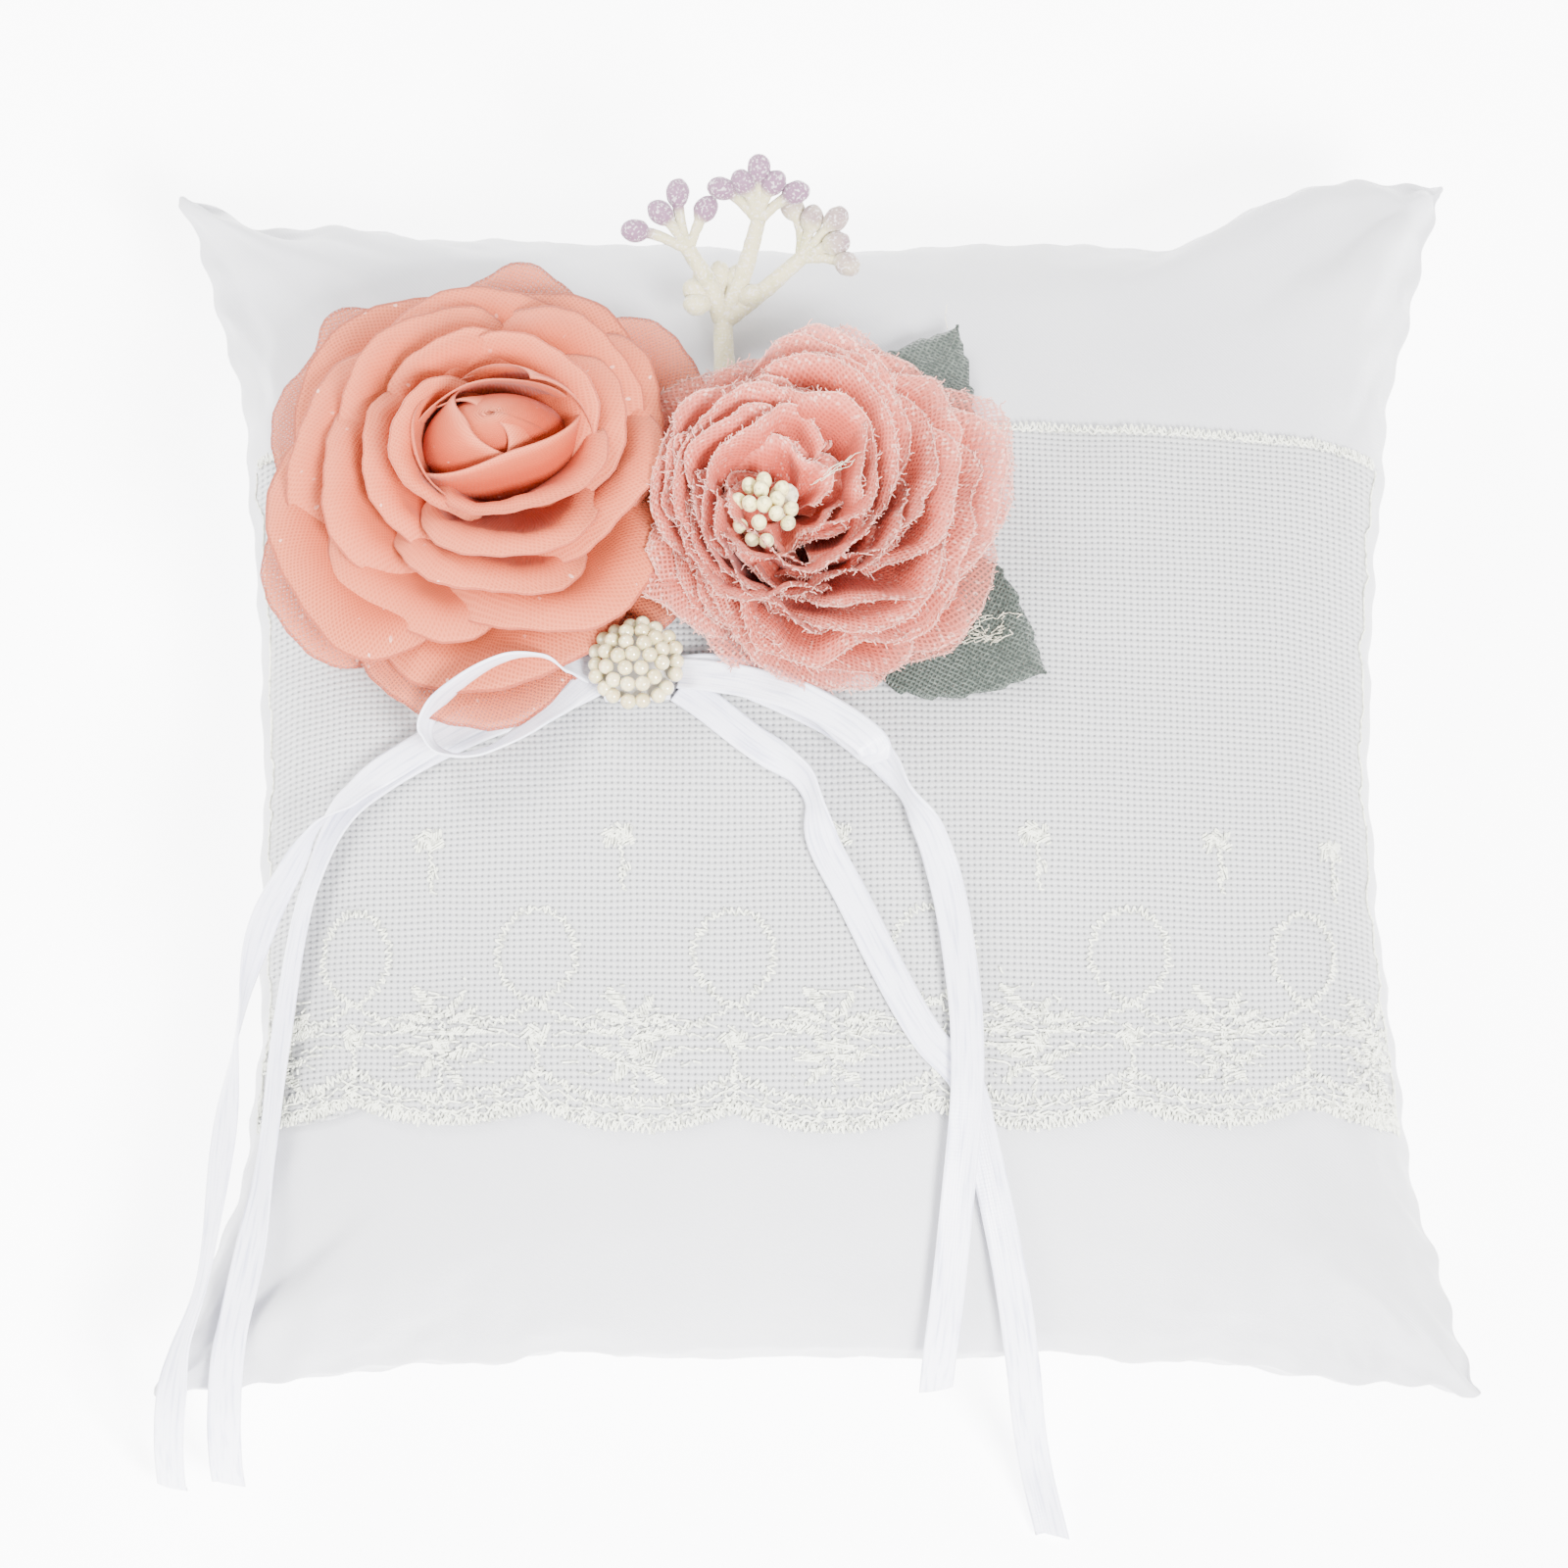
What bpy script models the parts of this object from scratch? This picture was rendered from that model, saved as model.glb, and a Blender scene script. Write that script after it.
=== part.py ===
"""Ring bearer pillow: a stuffed satin square with a lace band, two fabric flowers and ribbon ties.

The pillow lies on its back on a table. +Z is up, +X runs to the pillow's right, and +Y runs to
the edge above the flowers. The origin is on the table, under the middle of the pillow.
"""

import math

import bmesh
import bpy
from mathutils import Matrix, Vector

# ---------------------------------------------------------------------------- driving dimensions
PILLOW_WIDTH = 0.200            # across the sewn corners, along X
PILLOW_HEIGHT = 0.200           # across the sewn corners, along Y
SIDE_PULL = 0.14                # how far the side edges draw in at their middle, as a share
END_PULL = 0.09                 # the same for the upper and lower edges
FRONT_RISE = 0.030              # top of the front cover above the seam
BACK_DROP = 0.038               # depth of the back cover below the seam before the table flattens it
SEAM_HEIGHT = 0.028             # seam above the table
COVER_THICKNESS = 0.0008        # satin with its interlining
FIT_GAP = 0.0003                # gap between pieces that touch
FILLING_GAP = 0.0006            # filling inside the covers

LACE_LIFT = 0.0006              # lace net above the satin
LACE_THICKNESS = 0.0004
LACE_TOP = 0.050                # straight edge of the lace band, at the middle of the pillow
LACE_TOP_SWING = 0.0035         # how much higher that edge runs at the side seams
LACE_BOTTOM = -0.0645           # scalloped edge of the lace band, at the middle
LACE_BOTTOM_SWING = 0.006       # how much higher it runs at the side seams
LACE_BORDER = 0.008             # depth of the embroidered scallop border
SCALLOP_PITCH = 0.030
SCALLOP_DEPTH = 0.003
EDGE_CORD_WIDTH = 0.0012        # zigzag cord along the straight edge
EDGE_CORD_THICKNESS = 0.0007

ROSE_TILT = (-0.09, 0.08)       # lean of the rose's axis along X and Y, as slopes
ROSE_LIFT = 0.0026              # backing disc above the satin
ROSE_RADIUS = 0.031             # outermost petals
ROSE_ROOM = 1.2                 # room it needs from its neighbours, in radii
ROSE_AWAY = (-0.857, 0.515)     # the way it grows, off the other flower and the pearls
ROSE_NEIGHBOURS = (-0.0186196, 0.0193420)  # where they begin
ROSE_CENTRE = tuple(near + ROSE_ROOM * ROSE_RADIUS * away for near, away in zip(ROSE_NEIGHBOURS, ROSE_AWAY))
ROSE_HEIGHT = 0.029             # backing disc to the top of the bud
ROSE_LAYERS = 6

ORGANZA_CENTRE = (0.0035, 0.031)
ORGANZA_TILT = (0.0, 0.10)
ORGANZA_LIFT = 0.0024           # clear of the leaves under it
ORGANZA_RADIUS = 0.031          # longest half of the oval flower
ORGANZA_NARROWING = 0.83        # its width as a share of its length
ORGANZA_LAYERS = 5
ORGANZA_SHIFT = (-0.0085, -0.001)  # how far the heart of the flower sits off its middle

PETAL_THICKNESS = 0.0005
PETAL_STEP = 0.0015             # spacing of the petal layers along the flower's axis
BACKING_RADIUS = 0.009          # felt disc that a flower is sewn to
BACKING_THICKNESS = 0.0008
CORE_RADIUS = 0.0014            # bound stem that runs through the petal layers

LEAF_THICKNESS = 0.0004
LEAF_LIFT = 0.0014              # leaf above the satin

PEARL_CENTRE = (-0.0272, 0.0062)
PEARL_TILT = (-0.10, 0.02)
PEARL_DIAMETER = 0.0023
DOME_RADIUS = 0.0066            # to the middle of the outermost pearls
DOME_RISE = 0.0034
DOME_LIFT = 0.0052              # dome's backing above the satin

RIBBON_WIDTH = 0.005
RIBBON_THICKNESS = 0.0003
KNOT_SIZE = (0.010, 0.008, 0.0028)
KNOT_LIFT = 0.0017

STEM_RADIUS = 0.0012            # flocked stem of the berry sprig
BERRY_RADIUS = 0.0016

COVER_STEPS = 12                # facets across the covers and the filling
LACE_STEPS = 20                 # facets across the lace
BORDER_STEPS = 42               # facets along the scallop border


# --------------------------------------------------------------------------------- shared helpers
def clear_scene():
    """Empty the file of its start-up objects."""
    for item in list(bpy.data.objects):
        bpy.data.objects.remove(item)


def finish_material(name, colour, roughness, metallic=0.0):
    """A plain Principled finish for one piece."""
    material = bpy.data.materials.new(name)
    material.use_nodes = True
    shader = material.node_tree.nodes["Principled BSDF"]
    shader.inputs["Base Color"].default_value = (*colour, 1.0)
    shader.inputs["Roughness"].default_value = roughness
    shader.inputs["Metallic"].default_value = metallic
    return material


def add_solid(name, points, faces, material, parent=None, sharp_degrees=50):
    """One closed body from points and faces, facing outwards and shaded smooth."""
    mesh = bpy.data.meshes.new(name)
    mesh.from_pydata([tuple(point) for point in points], [], faces)
    shape = bmesh.new()
    shape.from_mesh(mesh)
    bmesh.ops.recalc_face_normals(shape, faces=shape.faces)
    if shape.calc_volume(signed=True) < 0:
        bmesh.ops.reverse_faces(shape, faces=shape.faces)
    shape.to_mesh(mesh)
    shape.free()
    mesh.shade_smooth()
    mesh.set_sharp_from_angle(angle=math.radians(sharp_degrees))
    mesh.materials.append(material)
    piece = bpy.data.objects.new(name, mesh)
    bpy.context.scene.collection.objects.link(piece)
    piece.parent = parent
    return piece


def bridge(first, second):
    """Quads between two closed loops of point numbers."""
    count = len(first)
    return [
        (first[i], first[(i + 1) % count], second[(i + 1) % count], second[i]) for i in range(count)
    ]


# ---------------------------------------------------------------------- the pillow's own surface
def pillow_point(across, along, grow, front):
    """Skin of the pillow at a grid place (-1 to 1 each way), moved outwards by grow."""
    u = math.sin(math.pi / 2 * across)
    v = math.sin(math.pi / 2 * along)
    x = (PILLOW_WIDTH / 2 + grow) * u * (1 - SIDE_PULL * (1 - v * v))
    y = (PILLOW_HEIGHT / 2 + grow) * v * (1 - END_PULL * (1 - u * u))
    swell = math.cos(math.pi / 2 * across) * math.cos(math.pi / 2 * along)
    if front:
        return Vector((x, y, SEAM_HEIGHT + FIT_GAP / 2 + (FRONT_RISE + grow) * swell))
    return Vector((x, y, max(SEAM_HEIGHT - FIT_GAP / 2 - (BACK_DROP + grow) * swell, -grow)))


def grid_place(x, y, grow=0.0):
    """Grid place (across, along) of a point in plan on the front cover."""
    u = v = 0.0
    for _ in range(40):
        u = x / ((PILLOW_WIDTH / 2 + grow) * (1 - SIDE_PULL * (1 - v * v)))
        v = y / ((PILLOW_HEIGHT / 2 + grow) * (1 - END_PULL * (1 - u * u)))
        u = max(-1.0, min(1.0, u))
        v = max(-1.0, min(1.0, v))
    return math.asin(u) * 2 / math.pi, math.asin(v) * 2 / math.pi


def on_cover(x, y, lift):
    """Point that lies lift above the front cover."""
    across, along = grid_place(x, y)
    return Vector((x, y, pillow_point(across, along, 0.0, True).z + lift))


def cover_normal(x, y):
    """Outward direction of the front cover."""
    step = 0.002
    slope_x = (on_cover(x + step, y, 0).z - on_cover(x - step, y, 0).z) / (2 * step)
    slope_y = (on_cover(x, y + step, 0).z - on_cover(x, y - step, 0).z) / (2 * step)
    return Vector((-slope_x, -slope_y, 1.0)).normalized()


def add_shell(name, outer_rows, inner_rows, material):
    """Closed shell between two matching grids of points.

    Both skins split their facets along the same diagonal, so their gap to each other and to the
    next shell stays even. The diagonal points at the nearest corner, where the skins would
    otherwise meet.
    """
    height, width = len(outer_rows), len(outer_rows[0])
    points = [point for row in outer_rows for point in row]
    points += [point for row in inner_rows for point in row]
    depth = height * width
    faces = []
    for j in range(height - 1):
        for i in range(width - 1):
            a, b = j * width + i, j * width + i + 1
            c, d = b + width, a + width
            if (2 * i < width - 1) != (2 * j < height - 1):
                a, b, c, d = b, c, d, a
            faces += [(a, b, c), (a, c, d)]
            faces += [(depth + c, depth + b, depth + a), (depth + d, depth + c, depth + a)]
    rim = [i for i in range(width)]
    rim += [j * width + width - 1 for j in range(1, height)]
    rim += [(height - 1) * width + i for i in range(width - 2, -1, -1)]
    rim += [j * width for j in range(height - 2, 0, -1)]
    faces += bridge(rim, [depth + place for place in rim])
    return add_solid(name, points, faces, material)


def cover_rows(grow, front, margin=0):
    """Grid of points over one side of the pillow, short of its edges by a margin of facets."""
    places = [2 * k / COVER_STEPS - 1 for k in range(margin, COVER_STEPS + 1 - margin)]
    return [[pillow_point(i, j, grow, front) for i in places] for j in places]


def add_covers(satin, fibre):
    """Front and back cover, and the filling that they hold."""
    for name, front in (("front_cover", True), ("back_cover", False)):
        add_shell(name, cover_rows(0.0, front), cover_rows(-COVER_THICKNESS, front), satin)
    inset = -(COVER_THICKNESS + FILLING_GAP)
    add_shell("filling", cover_rows(inset, True, 1), cover_rows(inset, False, 1), fibre)


# ------------------------------------------------------------------------------------- lace band
def lace_line(across, level, swing):
    """Grid place along Y of a lace edge that runs level at the middle and swings up at the sides."""
    u = math.sin(math.pi / 2 * across)
    y = level + swing * u * u
    v = y / (PILLOW_HEIGHT / 2 * (1 - END_PULL * (1 - u * u)))
    return math.asin(v) * 2 / math.pi


def band_rows(levels, swings, grow, steps, drop=None):
    """Grid of points between the given levels of the lace; drop lowers the first one."""
    places = [2 * k / steps - 1 for k in range(steps + 1)]
    rows = []
    for number, (level, swing) in enumerate(zip(levels, swings)):
        row = []
        for across in places:
            lowered = level - (drop(across) if drop and number == 0 else 0.0)
            row.append(pillow_point(across, lace_line(across, lowered, swing), grow, True))
        rows.append(row)
    return rows


def scallop_drop(across):
    """Depth of the scalloped edge below its cusps."""
    x = PILLOW_WIDTH / 2 * math.sin(math.pi / 2 * across)
    return SCALLOP_DEPTH * abs(math.sin(math.pi * (x + 0.0125) / SCALLOP_PITCH))


def add_band(name, levels, swings, thickness, steps, material, drop=None):
    """A strip of the lace, laid over the front cover."""
    inner = band_rows(levels, swings, LACE_LIFT, steps, drop)
    outer = band_rows(levels, swings, LACE_LIFT + thickness, steps, drop)
    return add_shell(name, outer, inner, material)


def blend_levels(first, last, count):
    """Evenly spaced numbers from first to last."""
    return [first + (last - first) * k / count for k in range(count + 1)]


def add_lace(net, thread):
    """Net panel, its embroidered scallop border and the corded straight edge."""
    rows = 8
    border_top = LACE_BOTTOM + LACE_BORDER
    net_levels = blend_levels(border_top + FIT_GAP, LACE_TOP, rows)
    net_swings = blend_levels(LACE_BOTTOM_SWING, LACE_TOP_SWING, rows)
    add_band("lace_net", net_levels, net_swings, LACE_THICKNESS, LACE_STEPS, net)
    border_levels = [LACE_BOTTOM + SCALLOP_DEPTH, border_top]
    swings = [LACE_BOTTOM_SWING] * 2
    add_band(
        "lace_scallop_border", border_levels, swings, LACE_THICKNESS, BORDER_STEPS, net, scallop_drop
    )
    cord_levels = [LACE_TOP + FIT_GAP, LACE_TOP + FIT_GAP + EDGE_CORD_WIDTH]
    cord_swings = [LACE_TOP_SWING] * 2
    add_band("lace_edge_cord", cord_levels, cord_swings, EDGE_CORD_THICKNESS, LACE_STEPS, thread)


# --------------------------------------------------------------------------------------- flowers
def flower_frame(name, centre, tilt, lift):
    """Empty at a flower's backing, with its Z along the flower's axis."""
    frame = bpy.data.objects.new(name, None)
    bpy.context.scene.collection.objects.link(frame)
    frame.location = on_cover(*centre, lift)
    axis = Vector((tilt[0], tilt[1], 1.0)).normalized()
    frame.rotation_mode = "QUATERNION"
    frame.rotation_quaternion = Vector((0, 0, 1)).rotation_difference(axis)
    return frame


def add_disc(name, radius, low, high, material, parent, sides=20):
    """Short round solid between two heights."""
    rings = []
    for height in (low, high):
        ring = []
        for k in range(sides):
            angle = 2 * math.pi * k / sides
            ring.append(Vector((radius * math.cos(angle), radius * math.sin(angle), height)))
        rings.append(ring)
    points = rings[0] + rings[1]
    lower = list(range(sides))
    upper = list(range(sides, 2 * sides))
    faces = bridge(lower, upper) + [tuple(reversed(lower)), tuple(upper)]
    return add_solid(name, points, faces, material, parent)


def add_petal_cup(name, size, base, rise, petals, turn, material, parent, narrowing=1.0,
                  shift=(0.0, 0.0)):
    """One layer of petals: a shallow cup around the stem whose rim has a lobe for each petal.

    The cup's height follows the square of its radius, so steeper cups nest above flatter ones.
    """
    sides, rings, notch = 4 * petals, 3, 0.10
    hole = CORE_RADIUS + FIT_GAP
    layers = []
    for wall in (0.0, PETAL_THICKNESS):
        for ring in range(rings + 1):
            share = ring / rings
            loop = []
            for k in range(sides):
                angle = 2 * math.pi * k / sides
                lobe = 1 - notch * (1 - abs(math.cos(petals * angle / 2 + turn)))
                radius = hole + (size * lobe - hole) * share
                spread = radius / size
                x = radius * math.cos(angle) * (1 + (narrowing - 1) * share) - shift[0] * share
                y = radius * math.sin(angle) - shift[1] * share
                loop.append(Vector((x, y, base + wall + rise * spread * spread)))
            layers.append(loop)
    points = [point for loop in layers for point in loop]
    loops = [list(range(k * sides, (k + 1) * sides)) for k in range(len(layers))]
    below, above = loops[: rings + 1], loops[rings + 1:]
    faces = []
    for side in (below, above):
        for first, second in zip(side, side[1:]):
            faces += bridge(first, second)
    faces += bridge(below[0], above[0]) + bridge(below[-1], above[-1])
    return add_solid(name, points, faces, material, parent)


def add_turned(name, profile, sides, material, parent):
    """Solid turned around the parent's Z, from (radius, height) pairs that end near the axis."""
    points, loops = [], []
    for radius, height in profile:
        loops.append(list(range(len(points), len(points) + sides)))
        for k in range(sides):
            angle = 2 * math.pi * k / sides
            points.append(Vector((radius * math.cos(angle), radius * math.sin(angle), height)))
    faces = [tuple(reversed(loops[0])), tuple(loops[-1])]
    for first, second in zip(loops, loops[1:]):
        faces += bridge(first, second)
    return add_solid(name, points, faces, material, parent)


def add_rose(petal, felt, thread):
    """Chiffon rose: backing, stem, nested petal layers and the rolled bud."""
    frame = flower_frame("rose_frame", ROSE_CENTRE, ROSE_TILT, ROSE_LIFT)
    add_disc("rose_backing", BACKING_RADIUS, 0.0, BACKING_THICKNESS, felt, frame)
    first = BACKING_THICKNESS + FIT_GAP
    bud_base = first + ROSE_LAYERS * PETAL_STEP
    for layer in range(ROSE_LAYERS):
        share = layer / (ROSE_LAYERS - 1)
        size = ROSE_RADIUS * (1 - 0.6 * share) - 0.002 * math.sin(math.pi * share)
        rise = 0.004 + 0.0105 * share ** 0.8
        base = first + layer * PETAL_STEP
        name = f"rose_petals_{layer + 1}"
        add_petal_cup(name, size, base, rise, 5, 0.7 * layer, petal, frame)
    add_disc("rose_stem", CORE_RADIUS, first, bud_base - FIT_GAP, thread, frame, sides=10)
    tall = ROSE_HEIGHT - bud_base
    profile = [(0.3, 0.0), (0.75, 0.25), (1.0, 0.6), (0.9, 0.85), (0.45, 1.0)]
    bud = [(0.0085 * wide, bud_base + tall * high) for wide, high in profile]
    add_turned("rose_bud", bud, 16, petal, frame)


def add_organza_flower(petal, felt, thread, cream):
    """Organza flower: backing, stem, ruffled layers and the bunch of stamens at its heart."""
    centre = (ORGANZA_CENTRE[0] + ORGANZA_SHIFT[0], ORGANZA_CENTRE[1] + ORGANZA_SHIFT[1])
    frame = flower_frame("organza_frame", centre, ORGANZA_TILT, ORGANZA_LIFT)
    add_disc("organza_backing", BACKING_RADIUS, 0.0, BACKING_THICKNESS, felt, frame)
    first = BACKING_THICKNESS + FIT_GAP
    top = first + ORGANZA_LAYERS * PETAL_STEP
    for layer in range(ORGANZA_LAYERS):
        share = layer / (ORGANZA_LAYERS - 1)
        size = ORGANZA_RADIUS * (1 - 0.55 * share)
        rise = 0.005 + 0.004 * share
        wide = ORGANZA_NARROWING + (1 - ORGANZA_NARROWING) * share
        off = tuple(step * (1 - share) for step in ORGANZA_SHIFT)
        base = first + layer * PETAL_STEP
        name = f"organza_ruffle_{layer + 1}"
        add_petal_cup(name, size, base, rise, 6, 0.9 * layer, petal, frame, wide, off)
    add_disc("organza_stem", CORE_RADIUS, first, top - FIT_GAP, thread, frame, sides=10)
    bunch = [(0.6, 0.0), (0.45, 0.3), (0.7, 0.8), (0.5, 1.0)]
    post = [(0.0032 * wide, top + 0.0035 * high) for wide, high in bunch]
    add_turned("stamen_stalks", post, 12, thread, frame)
    heads = top + 0.0035 + 0.0016
    add_bead_ring("stamen_outer_heads", 0.0042, heads, 9, 0.0014, cream, frame)
    add_bead_ring("stamen_inner_heads", 0.0014, heads + 0.0003, 4, 0.0011, cream, frame)


# ---------------------------------------------------------------------- pearl dome and the heads
def add_bead_ring(name, radius, height, beads, bead_radius, material, parent):
    """Beads strung in a circle, as one body that narrows to the thread between them."""
    stations, sides, waist = 2 * beads, 6, 0.55
    loops, points = [], []
    for k in range(stations):
        angle = 2 * math.pi * k / stations
        swell = abs(math.cos(math.pi * beads * k / stations))
        thick = bead_radius * (waist + (1 - waist) * swell)
        loops.append(list(range(len(points), len(points) + sides)))
        for side in range(sides):
            turn = 2 * math.pi * side / sides
            reach = radius + thick * math.cos(turn)
            points.append(
                Vector((reach * math.cos(angle), reach * math.sin(angle),
                        height + thick * math.sin(turn)))
            )
    faces = []
    for k in range(stations):
        faces += bridge(loops[k], loops[(k + 1) % stations])
    return add_solid(name, points, faces, material, parent)


def add_pearl_dome(pearl, felt):
    """Pearl cluster: a backing and three strung rings around one pearl."""
    frame = flower_frame("pearl_frame", PEARL_CENTRE, PEARL_TILT, DOME_LIFT)
    add_disc("pearl_backing", DOME_RADIUS * 0.85, 0.0, BACKING_THICKNESS, felt, frame)
    bead = PEARL_DIAMETER / 2
    low = BACKING_THICKNESS + FIT_GAP + bead
    rings = (("outer", 1.0, 18, 0.0), ("middle", 0.66, 12, 0.6), ("inner", 0.33, 6, 0.92))
    for name, share, beads, up in rings:
        height = low + (DOME_RISE - PEARL_DIAMETER / 2) * up
        add_bead_ring(
            f"pearl_{name}_ring", DOME_RADIUS * share, height, beads, bead * 0.92, pearl, frame
        )
    top = low + DOME_RISE - PEARL_DIAMETER / 2 + bead * 0.8
    ball = [(0.35, -0.94), (0.85, -0.53), (1.0, 0.0), (0.85, 0.53), (0.35, 0.94)]
    profile = [(bead * 0.9 * wide, top + bead * high) for wide, high in ball]
    add_turned("pearl_centre", profile, 10, pearl, frame)


# ---------------------------------------------------------------------------------------- leaves
def add_leaf(name, base, tip, width, material):
    """Woven leaf laid on the pillow from under the flower to its tip, with a folded midrib."""
    rows, columns, ridge = 8, 4, 0.0006
    start, end = Vector((*base, 0.0)), Vector((*tip, 0.0))
    along = end - start
    side = Vector((-along.y, along.x, 0.0)).normalized()
    grids = []
    for wall in (LEAF_THICKNESS, 0.0):
        grid = []
        for j in range(rows + 1):
            share = j / rows
            half = width / 2 * (0.08 + 0.92 * math.sin(math.pi * (0.08 + 0.86 * share) ** 0.9))
            row = []
            for i in range(columns + 1):
                place = 2 * i / columns - 1
                spot = start + along * share + side * half * place
                lift = LEAF_LIFT + wall + ridge * (1 - abs(place))
                row.append(on_cover(spot.x, spot.y, lift))
            grid.append(row)
        grids.append(grid)
    return add_shell(name, grids[0], grids[1], material)


def add_leaves(cloth):
    """The two leaves that show past the organza flower."""
    add_leaf("leaf_upper", (0.0065, 0.041), (0.0205, 0.0675), 0.015, cloth)
    add_leaf("leaf_lower", (0.0120, 0.024), (0.0345, 0.0070), 0.017, cloth)


# --------------------------------------------------------------------------------------- sprig
def tapered_tube(name, branch, sides=6):
    """Closed tube through (point, radius) pairs."""
    points, loops = [], []
    for k, (point, radius) in enumerate(branch):
        ahead = branch[min(k + 1, len(branch) - 1)][0] - branch[max(k - 1, 0)][0]
        turn = Vector((0, 0, 1)).rotation_difference(ahead.normalized())
        loops.append(list(range(len(points), len(points) + sides)))
        for side in range(sides):
            angle = 2 * math.pi * side / sides
            ring = Vector((radius * math.cos(angle), radius * math.sin(angle), 0.0))
            points.append(point + turn @ ring)
    faces = [tuple(reversed(loops[0])), tuple(loops[-1])]
    for first, second in zip(loops, loops[1:]):
        faces += bridge(first, second)
    return add_solid(name, points, faces, None)


def add_branching(name, branches, material):
    """One moulded body: the first branch with every other one united to it."""
    piece = tapered_tube(name, branches[0])
    piece.data.materials[0] = material
    for number, branch in enumerate(branches[1:], 1):
        arm = tapered_tube(f"{name}_arm_{number}", branch)
        arm.hide_render = True
        arm.display_type = "WIRE"
        union = piece.modifiers.new(f"arm_{number}", "BOOLEAN")
        union.operation = "UNION"
        union.object = arm
    return piece


def spray_branches(node, heading, fan, reach, lift, count):
    """Stalks of one spray: they fan out from the node and end in club-shaped berries."""
    down = Vector((0.0, 0.0, STEM_RADIUS))
    knob = [(node - down, STEM_RADIUS * 0.7), (node, STEM_RADIUS * 1.15), (node + down, STEM_RADIUS * 0.7)]
    branches = [knob]
    for k in range(count):
        place = 2 * k / (count - 1) - 1
        angle = math.radians(heading - fan / 2 * place)
        length = reach * (1.0 - 0.18 * (k % 2))
        rise = lift * (1.0 - 0.35 * abs(place))
        way = Vector((math.cos(angle) * length, math.sin(angle) * length, rise))
        side = Vector((-way.y, way.x, 0.0)) * 0.08 * place
        branches.append([
            (node + way * 0.03, STEM_RADIUS * 0.60),
            (node + way * 0.35 + side, STEM_RADIUS * 0.62),
            (node + way * 0.70 + side, STEM_RADIUS * 0.75),
            (node + way * 0.90, BERRY_RADIUS),
            (node + way * 1.00, BERRY_RADIUS * 0.55),
        ])
    return branches


def add_sprig(flock):
    """Berry sprig behind the flowers: a forked stem and four sprays that plug into it."""
    fork = Vector((-0.0145, 0.0690, 0.0520))
    foot = [on_cover(-0.0140, 0.0520, 0.0030), on_cover(-0.0143, 0.0610, 0.0035)]
    nodes = {
        "left": (Vector((-0.0198, 0.0772, 0.0590)), 116, 104, 0.0095, 0.0040, 4),
        "top": (Vector((-0.0091, 0.0815, 0.0600)), 88, 120, 0.0080, 0.0055, 5),
        "right": (Vector((-0.0026, 0.0764, 0.0575)), 42, 125, 0.0085, 0.0045, 5),
    }
    stem = [(foot[0], STEM_RADIUS), (foot[1], STEM_RADIUS * 1.1), (fork, STEM_RADIUS * 1.3)]
    arms = [list(reversed(stem))]
    plug = 2.2 * STEM_RADIUS
    for node, *_ in nodes.values():
        run = node - fork
        end = node - run.normalized() * plug
        middle = (fork + end) / 2 + Vector((0.0, 0.0, 0.0006))
        start = fork + run * 0.02
        arms.append([(start, STEM_RADIUS), (middle, STEM_RADIUS * 0.8), (end, STEM_RADIUS * 0.8)])
    for heading, rise in ((165, 0.0030), (97, 0.0042), (2, 0.0024), (200, 0.0012)):
        angle = math.radians(heading)
        way = Vector((math.cos(angle) * 0.0052, math.sin(angle) * 0.0052, rise))
        lump = [(0.1, 0.6), (0.45, 0.7), (0.8, 1.1), (1.0, 0.6)]
        arms.append([(fork + way * share, STEM_RADIUS * wide) for share, wide in lump])
    add_branching("sprig_stem", arms, flock)
    for name, (node, heading, fan, reach, lift, count) in nodes.items():
        branches = spray_branches(node, heading, fan, reach, lift, count)
        add_branching(f"sprig_{name}_spray", branches, flock)


# --------------------------------------------------------------------------------------- ribbons
def smooth_route(points, rolls, per_span):
    """Points and rolls along a smooth curve through the route's own points."""
    count = len(points)
    line, turn = [], []
    for k in range(count - 1):
        before, here = points[max(k - 1, 0)], points[k]
        there, after = points[k + 1], points[min(k + 2, count - 1)]
        for step in range(per_span):
            t = step / per_span
            a, b, c = t * t, t * t * t, t
            line.append(
                0.5 * (2 * here + (there - before) * c
                       + (2 * before - 5 * here + 4 * there - after) * a
                       + (3 * here - before - 3 * there + after) * b)
            )
            turn.append(rolls[k] + (rolls[k + 1] - rolls[k]) * (3 * a - 2 * b))
    line.append(points[-1])
    turn.append(rolls[-1])
    return line, turn


def edge_normal(point):
    """Which way a ribbon's face looks: off the cover, or outwards and up past the seam."""
    across, along = grid_place(point.x, point.y)
    if abs(across) < 0.93 and abs(along) < 0.93:
        return cover_normal(point.x, point.y)
    if abs(across) > abs(along):
        return Vector((math.copysign(1.0, across), 0.0, 1.0)).normalized()
    return Vector((0.0, math.copysign(1.0, along), 1.0)).normalized()


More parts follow.
